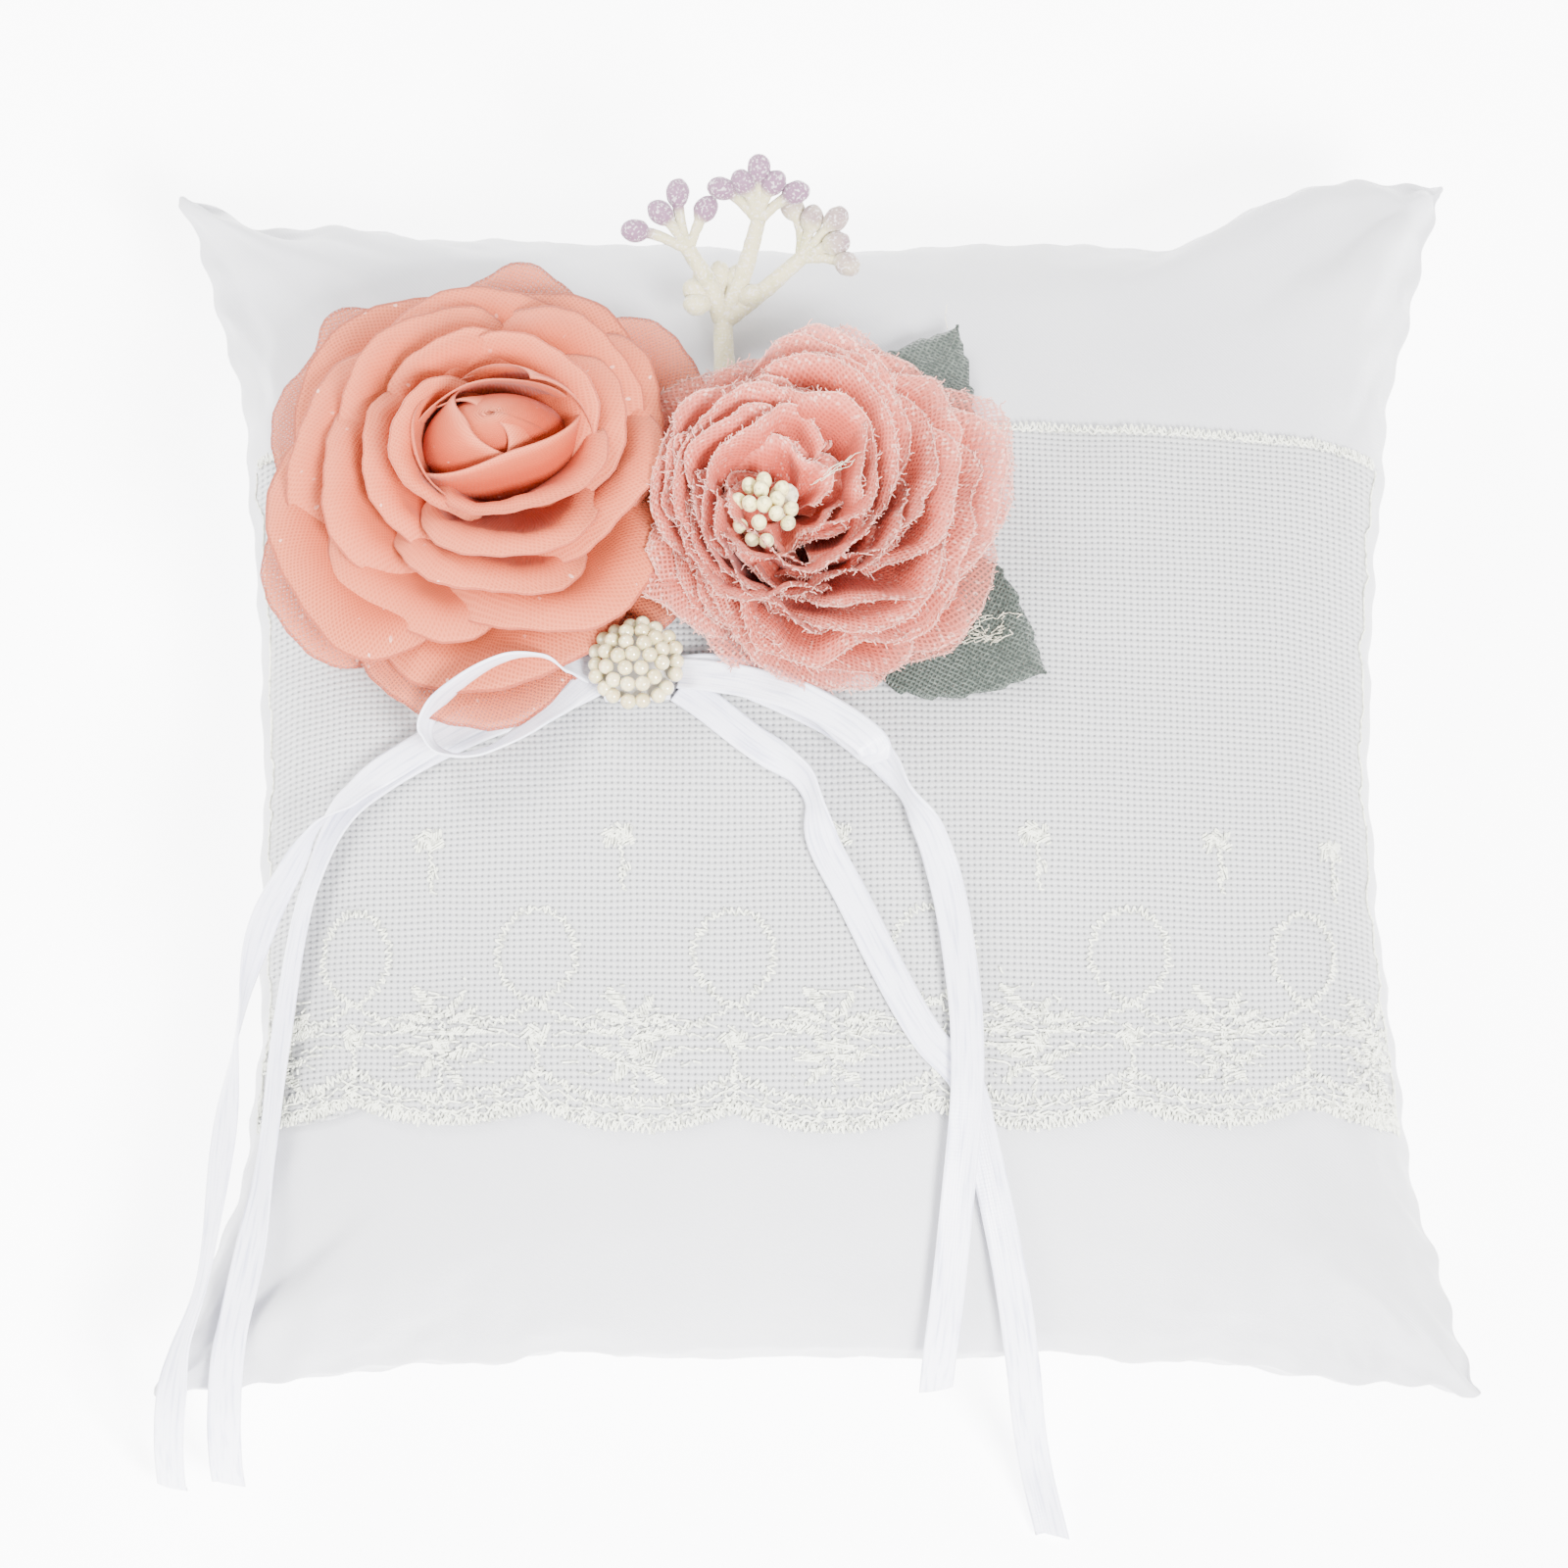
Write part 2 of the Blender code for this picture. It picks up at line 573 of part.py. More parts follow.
def add_ribbon(name, route, material, per_span=2):
    """Flat ribbon swept along its route; roll turns it from lying flat (0) to on edge (90)."""
    points = [point for point, _ in route]
    line, rolls = smooth_route(points, [roll for _, roll in route], per_span)
    corners, loops = [], []
    wide_before = None
    for k, (point, roll) in enumerate(zip(line, rolls)):
        ahead = line[min(k + 1, len(line) - 1)] - line[max(k - 1, 0)]
        ahead.normalize()
        wide = edge_normal(point).cross(ahead).normalized()
        wide = Matrix.Rotation(math.radians(roll), 3, ahead) @ wide
        # where the ribbon doubles back, its edges stay on the sides that they were on
        if wide_before is not None and wide.dot(wide_before) < 0:
            wide = -wide
        wide_before = wide
        thick = ahead.cross(wide).normalized() * RIBBON_THICKNESS / 2
        half = wide * RIBBON_WIDTH / 2
        loops.append(list(range(len(corners), len(corners) + 4)))
        corners += [
            point - half - thick, point + half - thick, point + half + thick, point - half + thick
        ]
    faces = [tuple(reversed(loops[0])), tuple(loops[-1])]
    for first, second in zip(loops, loops[1:]):
        under, right, over, left = bridge(first, second)
        # a twisted facet has no flat face, so both sides of the ribbon fold along one diagonal
        faces += [(under[0], under[1], under[2]), (under[0], under[2], under[3])]
        faces += [(over[0], over[1], over[3]), (over[1], over[2], over[3])]
        faces += [right, left]
    return add_solid(name, corners, faces, material)


def add_ribbons(satin):
    """The knot under the pearls, its two loops and its four tails."""
    across, along, deep = KNOT_SIZE
    frame = flower_frame("knot_frame", PEARL_CENTRE, PEARL_TILT, KNOT_LIFT)
    corners = [
        Vector((sx * across / 2, sy * along / 2, sz * deep))
        for sz in (0, 1) for sx, sy in ((-1, -1), (1, -1), (1, 1), (-1, 1))
    ]
    faces = [(3, 2, 1, 0), (4, 5, 6, 7)] + bridge([0, 1, 2, 3], [4, 5, 6, 7])
    add_solid("ribbon_knot", corners, faces, satin, frame)

    def free(x, y, z):
        """Point past the pillow's edge, at its height above the table."""
        return Vector((x, y, z))

    add_ribbon("ribbon_tail_left_1", [
        (on_cover(-0.0336, 0.0070, 0.0029), 0),
        (on_cover(-0.0400, 0.0045, 0.0023), 0),
        (on_cover(-0.0520, 0.0010, 0.0022), 0),
        (on_cover(-0.0650, -0.0055, 0.0024), 0),
        (on_cover(-0.0710, -0.0100, 0.0034), 20),
        (on_cover(-0.0765, -0.0150, 0.0056), 60),
        (on_cover(-0.0800, -0.0205, 0.0066), 80),
        (free(-0.0885, -0.0300, 0.0440), 85),
        (free(-0.0935, -0.0430, 0.0385), 60),
        (free(-0.0965, -0.0620, 0.0350), 30),
        (free(-0.0995, -0.0820, 0.0335), 20),
        (free(-0.1035, -0.0930, 0.0300), 20),
        (free(-0.1045, -0.1000, 0.0200), 25),
        (free(-0.1040, -0.1040, 0.0095), 25),
    ], satin)
    add_ribbon("ribbon_tail_left_2", [
        (on_cover(-0.0336, 0.0055, 0.0022), 0),
        (on_cover(-0.0400, 0.0030, 0.0014), 0),
        (on_cover(-0.0520, -0.0005, 0.0014), 0),
        (on_cover(-0.0655, -0.0065, 0.0014), 0),
        (on_cover(-0.0725, -0.0125, 0.0018), 10),
        (on_cover(-0.0765, -0.0210, 0.0024), 15),
        (on_cover(-0.0790, -0.0300, 0.0026), 10),
        (on_cover(-0.0815, -0.0470, 0.0026), 0),
        (on_cover(-0.0830, -0.0630, 0.0026), 0),
        (on_cover(-0.0855, -0.0790, 0.0026), 0),
        (free(-0.0885, -0.0930, 0.0345), 0),
        (free(-0.0895, -0.1010, 0.0280), 0),
        (free(-0.0900, -0.1050, 0.0160), 0),
        (free(-0.0900, -0.1065, 0.0080), 0),
    ], satin)
    add_ribbon("ribbon_tail_right_1", [
        (on_cover(-0.0208, 0.0065, 0.0029), 0),
        (on_cover(-0.0150, 0.0060, 0.0030), 0),
        (on_cover(-0.0080, 0.0030, 0.0032), 0),
        (on_cover(0.0025, -0.0025, 0.0034), 0),
        (on_cover(0.0095, -0.0085, 0.0044), 35),
        (on_cover(0.0136, -0.0145, 0.0050), 70),
        (on_cover(0.0173, -0.0210, 0.0042), 30),
        (on_cover(0.0199, -0.0300, 0.0032), 0),
        (on_cover(0.0217, -0.0420, 0.0028), 0),
        (on_cover(0.0224, -0.0510, 0.0028), 0),
        (on_cover(0.0223, -0.0610, 0.0028), 0),
        (on_cover(0.0209, -0.0750, 0.0028), 0),
        (on_cover(0.0195, -0.0870, 0.0030), 0),
        (free(0.0185, -0.0950, 0.0320), 0),
        (free(0.0180, -0.0985, 0.0190), 0),
    ], satin)
    add_ribbon("ribbon_tail_right_2", [
        (on_cover(-0.0208, 0.0040, 0.0022), 0),
        (on_cover(-0.0165, 0.0010, 0.0016), 0),
        (on_cover(-0.0100, -0.0045, 0.0018), 0),
        (on_cover(-0.0030, -0.0100, 0.0034), 50),
        (on_cover(-0.0005, -0.0145, 0.0038), 60),
        (on_cover(0.0010, -0.0210, 0.0024), 15),
        (on_cover(0.0055, -0.0300, 0.0016), 0),
        (on_cover(0.0113, -0.0420, 0.0015), 0),
        (on_cover(0.0165, -0.0510, 0.0014), 0),
        (on_cover(0.0222, -0.0575, 0.0014), 0),
        (on_cover(0.0246, -0.0660, 0.0015), 0),
        (on_cover(0.0275, -0.0780, 0.0017), 0),
        (on_cover(0.0295, -0.0870, 0.0024), 0),
        (free(0.0312, -0.0955, 0.0300), 0),
        (free(0.0322, -0.0995, 0.0180), 0),
        (free(0.0338, -0.1045, 0.0060), 0),
        (free(0.0362, -0.1130, 0.0010), 0),
    ], satin)
    add_ribbon("bow_loop_left", [
        (on_cover(-0.0344, 0.0068, 0.0044), 0),
        (on_cover(-0.0380, 0.0072, 0.0064), 30),
        (on_cover(-0.0425, 0.0074, 0.0104), 60),
        (on_cover(-0.0480, 0.0060, 0.0130), 75),
        (on_cover(-0.0535, 0.0034, 0.0126), 80),
        (on_cover(-0.0580, 0.0004, 0.0104), 85),
        (on_cover(-0.0592, -0.0030, 0.0082), 95),
        (on_cover(-0.0562, -0.0062, 0.0074), 110),
        (on_cover(-0.0500, -0.0060, 0.0068), 125),
        (on_cover(-0.0430, -0.0020, 0.0060), 145),
        (on_cover(-0.0375, 0.0025, 0.0044), 165),
        (on_cover(-0.0344, 0.0056, 0.0036), 180),
    ], satin)
    add_ribbon("bow_loop_right", [
        (on_cover(-0.0208, 0.0060, 0.0037), 0),
        (on_cover(-0.0160, 0.0060, 0.0044), 0),
        (on_cover(-0.0080, 0.0035, 0.0056), 0),
        (on_cover(0.0000, -0.0010, 0.0068), 0),
        (on_cover(0.0058, -0.0068, 0.0086), 0),
        (on_cover(0.0086, -0.0098, 0.0101), 0),
        (on_cover(0.0076, -0.0087, 0.0121), 0),
        (on_cover(0.0034, -0.0052, 0.0116), 0),
        (on_cover(-0.0030, -0.0008, 0.0098), 0),
        (on_cover(-0.0100, 0.0025, 0.0072), 0),
        (on_cover(-0.0160, 0.0045, 0.0053), 0),
        (on_cover(-0.0208, 0.0055, 0.0044), 0),
    ], satin)


def main():
    """Build every piece of the pillow."""
    clear_scene()
    satin = finish_material("white_satin", (0.83, 0.83, 0.85), 0.45)
    fibre = finish_material("polyester_fibre", (0.80, 0.80, 0.80), 0.95)
    net = finish_material("ribbed_net", (0.79, 0.79, 0.78), 0.8)
    thread = finish_material("cream_thread", (0.82, 0.81, 0.75), 0.7)
    felt = finish_material("white_felt", (0.78, 0.76, 0.74), 0.95)
    chiffon = finish_material("peach_chiffon", (0.91, 0.46, 0.33), 0.6)
    organza = finish_material("coral_organza", (0.86, 0.34, 0.28), 0.6)
    cream = finish_material("cream_heads", (0.88, 0.84, 0.68), 0.5)
    cloth = finish_material("grey_green_cloth", (0.21, 0.27, 0.23), 0.7)
    pearl = finish_material("pearl", (0.93, 0.88, 0.74), 0.25)
    flock = finish_material("flocked_sprig", (0.82, 0.78, 0.70), 0.85)
    ribbon = finish_material("ribbon_satin", (0.86, 0.87, 0.92), 0.35)
    add_covers(satin, fibre)
    add_lace(net, thread)
    add_rose(chiffon, felt, thread)
    add_organza_flower(organza, felt, thread, cream)
    add_leaves(cloth)
    add_sprig(flock)
    add_pearl_dome(pearl, felt)
    add_ribbons(ribbon)


main()
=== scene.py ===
"""Dresses the ring bearer pillow: stuffed satin, lace, fabric flowers, pearls, sprig and ribbons."""

import logging
import math
from dataclasses import dataclass, field
from enum import Enum

import bpy
import numpy as np
from mathutils import Matrix, Vector, noise
from mathutils.bvhtree import BVHTree


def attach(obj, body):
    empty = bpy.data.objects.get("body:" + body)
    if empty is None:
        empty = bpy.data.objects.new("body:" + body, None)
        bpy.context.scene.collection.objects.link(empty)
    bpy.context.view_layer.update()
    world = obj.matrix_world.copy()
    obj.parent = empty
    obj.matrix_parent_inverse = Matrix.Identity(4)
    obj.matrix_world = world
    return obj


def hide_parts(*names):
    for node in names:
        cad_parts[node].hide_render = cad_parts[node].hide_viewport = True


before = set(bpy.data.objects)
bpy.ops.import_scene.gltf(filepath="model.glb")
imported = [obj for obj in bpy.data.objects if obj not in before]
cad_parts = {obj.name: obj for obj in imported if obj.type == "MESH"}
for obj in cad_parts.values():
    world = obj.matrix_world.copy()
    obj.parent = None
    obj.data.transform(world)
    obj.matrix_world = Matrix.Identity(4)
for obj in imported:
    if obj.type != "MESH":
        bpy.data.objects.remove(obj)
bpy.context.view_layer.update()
LOG = logging.getLogger("ring_pillow")
MM = 0.001
BODY = "root"


# ------------------------------------------------------------------------------------ materials
class Wire:
    """A Principled material while its nodes are being wired."""

    def __init__(self, name: str, roughness: float) -> None:
        """Start a material.

        Args:
            name: Name of the material.
            roughness: Roughness of the bare surface.
        """
        self.material = bpy.data.materials.new(name)
        self.material.use_nodes = True
        self.tree = self.material.node_tree
        self.shader = self.tree.nodes["Principled BSDF"]
        self.shader.inputs["Roughness"].default_value = roughness

    def add(self, kind: str, **values: object) -> bpy.types.Node:
        """Add a node and set its properties, or its inputs where a key names one.

        Args:
            kind: The node's type.
            values: Properties by name; an input's spaces are written as underscores.

        Returns:
            The new node.
        """
        node = self.tree.nodes.new(kind)
        for key, value in values.items():
            label = key.replace("_", " ")
            if label in node.inputs:
                self.put(node.inputs[label], value)
            else:
                setattr(node, key, value)
        return node

    def put(self, socket: bpy.types.NodeSocket, value: object) -> None:
        """Link a socket to an input, or set the input's value."""
        if isinstance(value, bpy.types.NodeSocket):
            self.tree.links.new(value, socket)
        elif isinstance(value, tuple) and len(value) == 3 and socket.type == "RGBA":
            socket.default_value = (*value, 1.0)
        else:
            socket.default_value = value

    def math(self, kind: str, *values: object) -> bpy.types.NodeSocket:
        """A Math node on numbers or sockets.

        Args:
            kind: The operation.
            values: Its one to three inputs.

        Returns:
            The result.
        """
        node = self.tree.nodes.new("ShaderNodeMath")
        node.operation = kind
        for socket, value in zip(node.inputs, values):
            self.put(socket, value)
        return node.outputs[0]

    def mix(self, share: object, first: object, second: object) -> bpy.types.NodeSocket:
        """A blend of two colours.

        Args:
            share: How much of the second colour shows.
            first: Colour or socket.
            second: Colour or socket.

        Returns:
            The mixed colour.
        """
        node = self.tree.nodes.new("ShaderNodeMix")
        node.data_type = "RGBA"
        self.put(node.inputs[0], share)
        self.put(node.inputs[6], first)
        self.put(node.inputs[7], second)
        return node.outputs[2]

    def band(self, value: object, low: float, high: float) -> bpy.types.NodeSocket:
        """Value mapped smoothly from 0 at low to 1 at high."""
        node = self.tree.nodes.new("ShaderNodeMapRange")
        node.interpolation_type = "SMOOTHSTEP"
        self.put(node.inputs["Value"], value)
        node.inputs["From Min"].default_value = low
        node.inputs["From Max"].default_value = high
        return node.outputs["Result"]

    def place(self, source: str) -> bpy.types.NodeSocket:
        """The piece's Object or UV coordinates."""
        return self.add("ShaderNodeTexCoord").outputs[source]

    def axes(self, vector: bpy.types.NodeSocket) -> list[bpy.types.NodeSocket]:
        """The three components of a vector."""
        return list(self.add("ShaderNodeSeparateXYZ", Vector=vector).outputs)

    def attribute(self, name: str) -> bpy.types.NodeSocket:
        """A number stored on the piece's points."""
        return self.add("ShaderNodeAttribute", attribute_name=name).outputs["Fac"]

    def noise(self, vector: bpy.types.NodeSocket, cell: float, detail: float = 3.0):
        """Soft noise whose lumps are about cell across.

        Args:
            vector: Coordinates in metres.
            cell: Size of a lump in metres.
            detail: Octaves of finer noise.

        Returns:
            A value about 0.5.
        """
        node = self.add("ShaderNodeTexNoise", Vector=vector, Scale=1.0 / cell, Detail=detail)
        return node.outputs["Fac"]

    def stripes(self, value: object, pitch: float) -> bpy.types.NodeSocket:
        """Round threads across a coordinate: 0 in the valleys, 1 on the crests."""
        wave = self.math("COSINE", self.math("MULTIPLY", value, 2 * math.pi / pitch))
        return self.math("MULTIPLY_ADD", wave, 0.5, 0.5)

    def bump(self, height: bpy.types.NodeSocket, depth: float) -> None:
        """Relief of the given depth in metres."""
        node = self.add("ShaderNodeBump", Height=height, Distance=depth)
        node.inputs["Strength"].default_value = 1.0
        self.put(self.shader.inputs["Normal"], node.outputs["Normal"])

    def colour(self, value: object) -> None:
        """Set the base colour."""
        self.put(self.shader.inputs["Base Color"], value)

    def sheen(self, weight: float, roughness: float = 0.4) -> None:
        """Set the cloth sheen, the same all over."""
        self.shader.inputs["Sheen Weight"].default_value = weight
        self.shader.inputs["Sheen Roughness"].default_value = roughness


@dataclass(frozen=True)
class SatinFinish:
    """White cover satin: a fine twill with a low sheen."""

    colour: tuple[float, float, float] = (0.52, 0.52, 0.54)
    shade: tuple[float, float, float] = (0.48, 0.48, 0.51)
    twill: float = 0.00052
    depth: float = 0.000018

    def build(self) -> bpy.types.Material:
        """Make the material."""
        wire = Wire("cover_satin", 0.5)
        place = wire.place("Object")
        x, y, z = wire.axes(place)
        slant = wire.math("ADD", wire.math("ADD", x, y), wire.math("MULTIPLY", z, 0.7))
        twill = wire.stripes(slant, self.twill)
        slub = wire.noise(place, 0.0006)
        relief = wire.math("MULTIPLY_ADD", slub, 0.8, twill)
        cloud = wire.band(wire.noise(place, 0.03, 2.0), 0.35, 0.65)
        wire.colour(wire.mix(wire.math("MULTIPLY", cloud, 0.5), self.colour, self.shade))
        wire.bump(relief, self.depth)
        wire.shader.inputs["Specular IOR Level"].default_value = 0.35
        wire.sheen(0.25)
        return wire.material


@dataclass(frozen=True)
class NetFinish:
    """Sheer ribbed net: round ribs along U and fine cross threads along V, with holes between and painted shade in the
    valleys.
    """

    colour: tuple[float, float, float] = (0.53, 0.53, 0.525)
    valley_shade: tuple[float, float, float] = (0.38, 0.38, 0.39)
    rib: float = 0.00102
    thread: float = 0.00098
    depth: float = 0.00006

    def build(self) -> bpy.types.Material:
        """Make the material."""
        wire = Wire("ribbed_net", 0.65)
        place = wire.place("UV")
        u, v, _ = wire.axes(place)
        sway = wire.math("MULTIPLY_ADD", wire.noise(place, 0.012, 2.0), 0.0007, v)
        rib = wire.stripes(sway, self.rib)
        wobble = wire.math("MULTIPLY_ADD", wire.noise(place, 0.004, 1.0), 0.0005, u)
        cross = wire.stripes(wobble, self.thread)
        ridge = wire.math("POWER", rib, 0.8)
        relief = wire.math("MULTIPLY_ADD", wire.math("MULTIPLY", cross, ridge), 0.8, ridge)
        gap = wire.math("MULTIPLY", wire.math("SUBTRACT", 1.0, rib), wire.math("SUBTRACT", 1.0, cross))
        crest = wire.math("MULTIPLY", ridge, wire.math("MULTIPLY_ADD", cross, 0.5, 0.5))
        # Painted shade: the valleys between ribs and cross threads take the darker valley colour, the crests the net's
        # colour.
        wire.colour(wire.mix(crest, self.valley_shade, self.colour))
        hole = wire.band(gap, 0.45, 0.85)
        wire.put(wire.shader.inputs["Alpha"], wire.math("MULTIPLY_ADD", hole, -0.7, 0.93))
        wire.bump(relief, self.depth)
        wire.sheen(0.2)
        return wire.material


@dataclass(frozen=True)
class ThreadFinish:
    """Twisted thread, seen as short shiny stitches."""

    name: str
    colour: tuple[float, float, float]
    roughness: float = 0.45

    def build(self) -> bpy.types.Material:
        """Make the material."""
        wire = Wire(self.name, self.roughness)
        place = wire.place("Object")
        tone = wire.noise(place, 0.0008)
        dark = tuple(0.52 * value for value in self.colour)
        wire.colour(wire.mix(wire.band(tone, 0.34, 0.54), dark, self.colour))
        wire.bump(wire.noise(place, 0.00025), 0.00004)
        wire.sheen(0.3)
        return wire.material


@dataclass(frozen=True)
class PetalFinish:
    """Woven petal cloth with painted shade at its root and between its threads, paler towards its rim, with glitter
    painted pale as glints and a cut edge.

    The piece's points carry rim (0 at the root, 1 at the edge) and veil (how sheer it is).
    """

    name: str
    # root: the colour at the petal's root, darkened with painted shade where it sits deep in the flower.
    root: tuple[float, float, float]
    middle: tuple[float, float, float]
    rim: tuple[float, float, float]
    edge: tuple[float, float, float]
    weave: float
    depth: float
    glitter: float
    sheer: float
    glow: float

    def build(self) -> bpy.types.Material:
        """Make the material."""
        wire = Wire(self.name, 0.6)
        place = wire.place("UV")
        u, v, _ = wire.axes(place)
        sway = wire.math("MULTIPLY", wire.math("SUBTRACT", wire.noise(place, 0.006, 2.0), 0.5), 0.0012)
        warp = wire.stripes(wire.math("ADD", u, sway), self.weave)
        weft = wire.stripes(wire.math("ADD", v, sway), self.weave)
        relief = wire.math("MAXIMUM", warp, weft)
        reach = wire.attribute("rim")
        # Painted shade: the colour darkens from the middle towards the root, deep in the flower.
        body = wire.mix(wire.band(reach, 0.45, 0.84), self.root, self.middle)
        body = wire.mix(wire.band(reach, 0.80, 1.0), body, self.rim)
        # Painted shade between the threads: the weave's valleys are pulled towards the darker root colour.
        body = wire.mix(wire.math("MULTIPLY", wire.math("SUBTRACT", 1.0, relief), 0.45), body, self.root)
        # Glitter flecks, painted pale as glints and thickest near the rim; the same flecks are also made glossier.
        spark = wire.add("ShaderNodeTexVoronoi", Vector=place, Scale=1.0 / 0.00055)
        pick = wire.math("GREATER_THAN", wire.axes(spark.outputs["Color"])[0], 1.0 - self.glitter)
        near = wire.math("LESS_THAN", spark.outputs["Distance"], 0.42)
        patch = wire.math("MULTIPLY", wire.band(wire.noise(place, 0.010, 2.0), 0.42, 0.62), 0.35)
        patch = wire.math("MAXIMUM", patch, wire.band(reach, 0.84, 0.97))
        glitter_glint_mask = wire.math("MULTIPLY", wire.math("MULTIPLY", pick, near), patch)
        body = wire.mix(wire.math("MULTIPLY", glitter_glint_mask, 0.60), body, (0.80, 0.50, 0.42))
        body = wire.mix(wire.math("GREATER_THAN", reach, 0.988), body, self.edge)
        wire.colour(body)
        wire.put(wire.shader.inputs["Roughness"], wire.math("MULTIPLY_ADD", glitter_glint_mask, -0.3, 0.62))
        veil = wire.math("MULTIPLY", wire.attribute("veil"), self.sheer)
        holes = wire.math("SUBTRACT", 1.0, relief)
        thin = wire.math("MULTIPLY", veil, wire.math("MULTIPLY_ADD", wire.band(holes, 0.15, 0.6), 0.75, 0.35))
        wire.put(wire.shader.inputs["Alpha"], wire.math("SUBTRACT", 1.0, thin))
        wire.bump(relief, self.depth)
        wire.shader.inputs["Subsurface Weight"].default_value = self.glow
        wire.shader.inputs["Subsurface Radius"].default_value = (1.0, 0.45, 0.35)
        wire.shader.inputs["Subsurface Scale"].default_value = 0.004
        wire.shader.inputs["Specular IOR Level"].default_value = 0.15
        wire.sheen(0.06)
        return wire.material


@dataclass(frozen=True)
class LeafFinish:
    """Coarse grey-green cloth: its thread crests painted pale as a glint and the hollows between painted dark as shade,
    broken by random flecks, with faint veins.
    """

    # dark: colour between the threads and in the flecks, carrying painted shade; light: colour of the thread crests,
    # carrying a painted glint.
    dark: tuple[float, float, float] = (0.020, 0.030, 0.024)
    light: tuple[float, float, float] = (0.098, 0.118, 0.098)
    weave: float = 0.00075

    def build(self) -> bpy.types.Material:
        """Make the material."""
        wire = Wire("leaf_cloth", 0.5)
        place = wire.place("UV")
        u, v, _ = wire.axes(place)
        sway = wire.math("MULTIPLY", wire.math("SUBTRACT", wire.noise(place, 0.004, 2.0), 0.5), 0.0012)
        warp = wire.stripes(wire.math("ADD", u, sway), self.weave)
        weft = wire.stripes(wire.math("ADD", v, sway), self.weave * 0.8)
        threads = wire.math("MAXIMUM", wire.math("POWER", warp, 2.0), wire.math("POWER", weft, 2.0))
        fleck = wire.noise(place, 0.0007)
        # Painted glint on the thread crests and painted shade between them, broken up at random by the flecks.
        level = wire.math("MULTIPLY", threads, wire.band(fleck, 0.25, 0.7))
        vein = wire.math("LESS_THAN", wire.attribute("vein"), 0.06)
        level = wire.math("MULTIPLY", level, wire.math("MULTIPLY_ADD", vein, -0.45, 1.0))
        wire.colour(wire.mix(level, self.dark, self.light))
        wire.bump(threads, 0.00014)
        wire.sheen(0.2)
        return wire.material


@dataclass(frozen=True)
class PearlFinish:
    """Pearl lacquer over a cream bead."""

    colour: tuple[float, float, float] = (0.62, 0.54, 0.32)
    shade: tuple[float, float, float] = (0.50, 0.42, 0.22)

    def build(self) -> bpy.types.Material:
        """Make the material."""
        wire = Wire("pearl_lacquer", 0.22)
        tone = wire.noise(wire.place("Object"), 0.004, 1.0)
        wire.colour(wire.mix(wire.band(tone, 0.35, 0.65), self.shade, self.colour))
        wire.shader.inputs["Coat Weight"].default_value = 1.0
        wire.shader.inputs["Coat Roughness"].default_value = 0.08
        wire.shader.inputs["Subsurface Weight"].default_value = 0.2
        wire.shader.inputs["Subsurface Scale"].default_value = 0.001
        return wire.material


@dataclass(frozen=True)
class FlockFinish:
    """Flocked sprig: cream stems with a yellow cast that frost into lilac at the berries."""

    stem: tuple[float, float, float] = (0.50, 0.45, 0.27)
    moss: tuple[float, float, float] = (0.34, 0.33, 0.15)
    tip: tuple[float, float, float] = (0.19, 0.095, 0.16)
    frost: tuple[float, float, float] = (0.62, 0.57, 0.58)

    def build(self) -> bpy.types.Material:
        """Make the material."""
        wire = Wire("flocked_sprig", 0.85)
        place = wire.place("Object")
        speck = wire.noise(place, 0.00045)
        patch = wire.noise(place, 0.004, 2.0)
        body = wire.mix(wire.band(patch, 0.5, 0.8), self.stem, self.moss)
        reach = wire.attribute("tip")
        lilac = wire.band(wire.math("MULTIPLY_ADD", patch, 0.35, reach), 0.55, 1.0)
        body = wire.mix(lilac, body, self.tip)
        body = wire.mix(wire.math("MULTIPLY", wire.band(speck, 0.52, 0.66), 0.75), body, self.frost)
        wire.colour(body)
        wire.bump(speck, 0.00025)
        wire.sheen(0.4)
        return wire.material


@dataclass(frozen=True)
class RibbonFinish:
    """Narrow satin ribbon: fine warp lines along it and a bright, slightly blue face, streaked lengthwise with painted
    sheen and shade.
    """

    colour: tuple[float, float, float] = (0.78, 0.78, 0.87)
    # shade: the darker colour of the painted shade lanes along the ribbon.
    shade: tuple[float, float, float] = (0.52, 0.53, 0.66)

    def build(self) -> bpy.types.Material:
        """Make the material."""
        wire = Wire("ribbon_satin", 0.36)
        place = wire.place("UV")
        u, v, _ = wire.axes(place)
        warp = wire.stripes(u, 0.00045)
        pick = wire.stripes(wire.math("MULTIPLY_ADD", wire.noise(place, 0.003, 1.0), 0.0003, v), 0.0006)
        relief = wire.math("MULTIPLY_ADD", pick, 0.6, warp)
        lane = self.painted_sheen_streaks(wire, place)
        # Painted sheen and shade: lanes along the ribbon swing between the face colour and the darker shade colour.
        wire.colour(wire.mix(wire.band(lane, 0.45, 0.75), self.colour, self.shade))
        wire.bump(relief, 0.00002)
        wire.shader.inputs["Anisotropic"].default_value = 0.5
        wire.sheen(0.3)
        return wire.material

    def painted_sheen_streaks(self, wire: Wire, place: bpy.types.NodeSocket) -> bpy.types.NodeSocket:
        """Long thin lanes of painted sheen and shade that run with the warp."""
        stretch = wire.add("ShaderNodeMapping", Vector=place, Scale=(1.0, 0.06, 1.0))
        return wire.noise(stretch.outputs[0], 0.0006, 2.0)


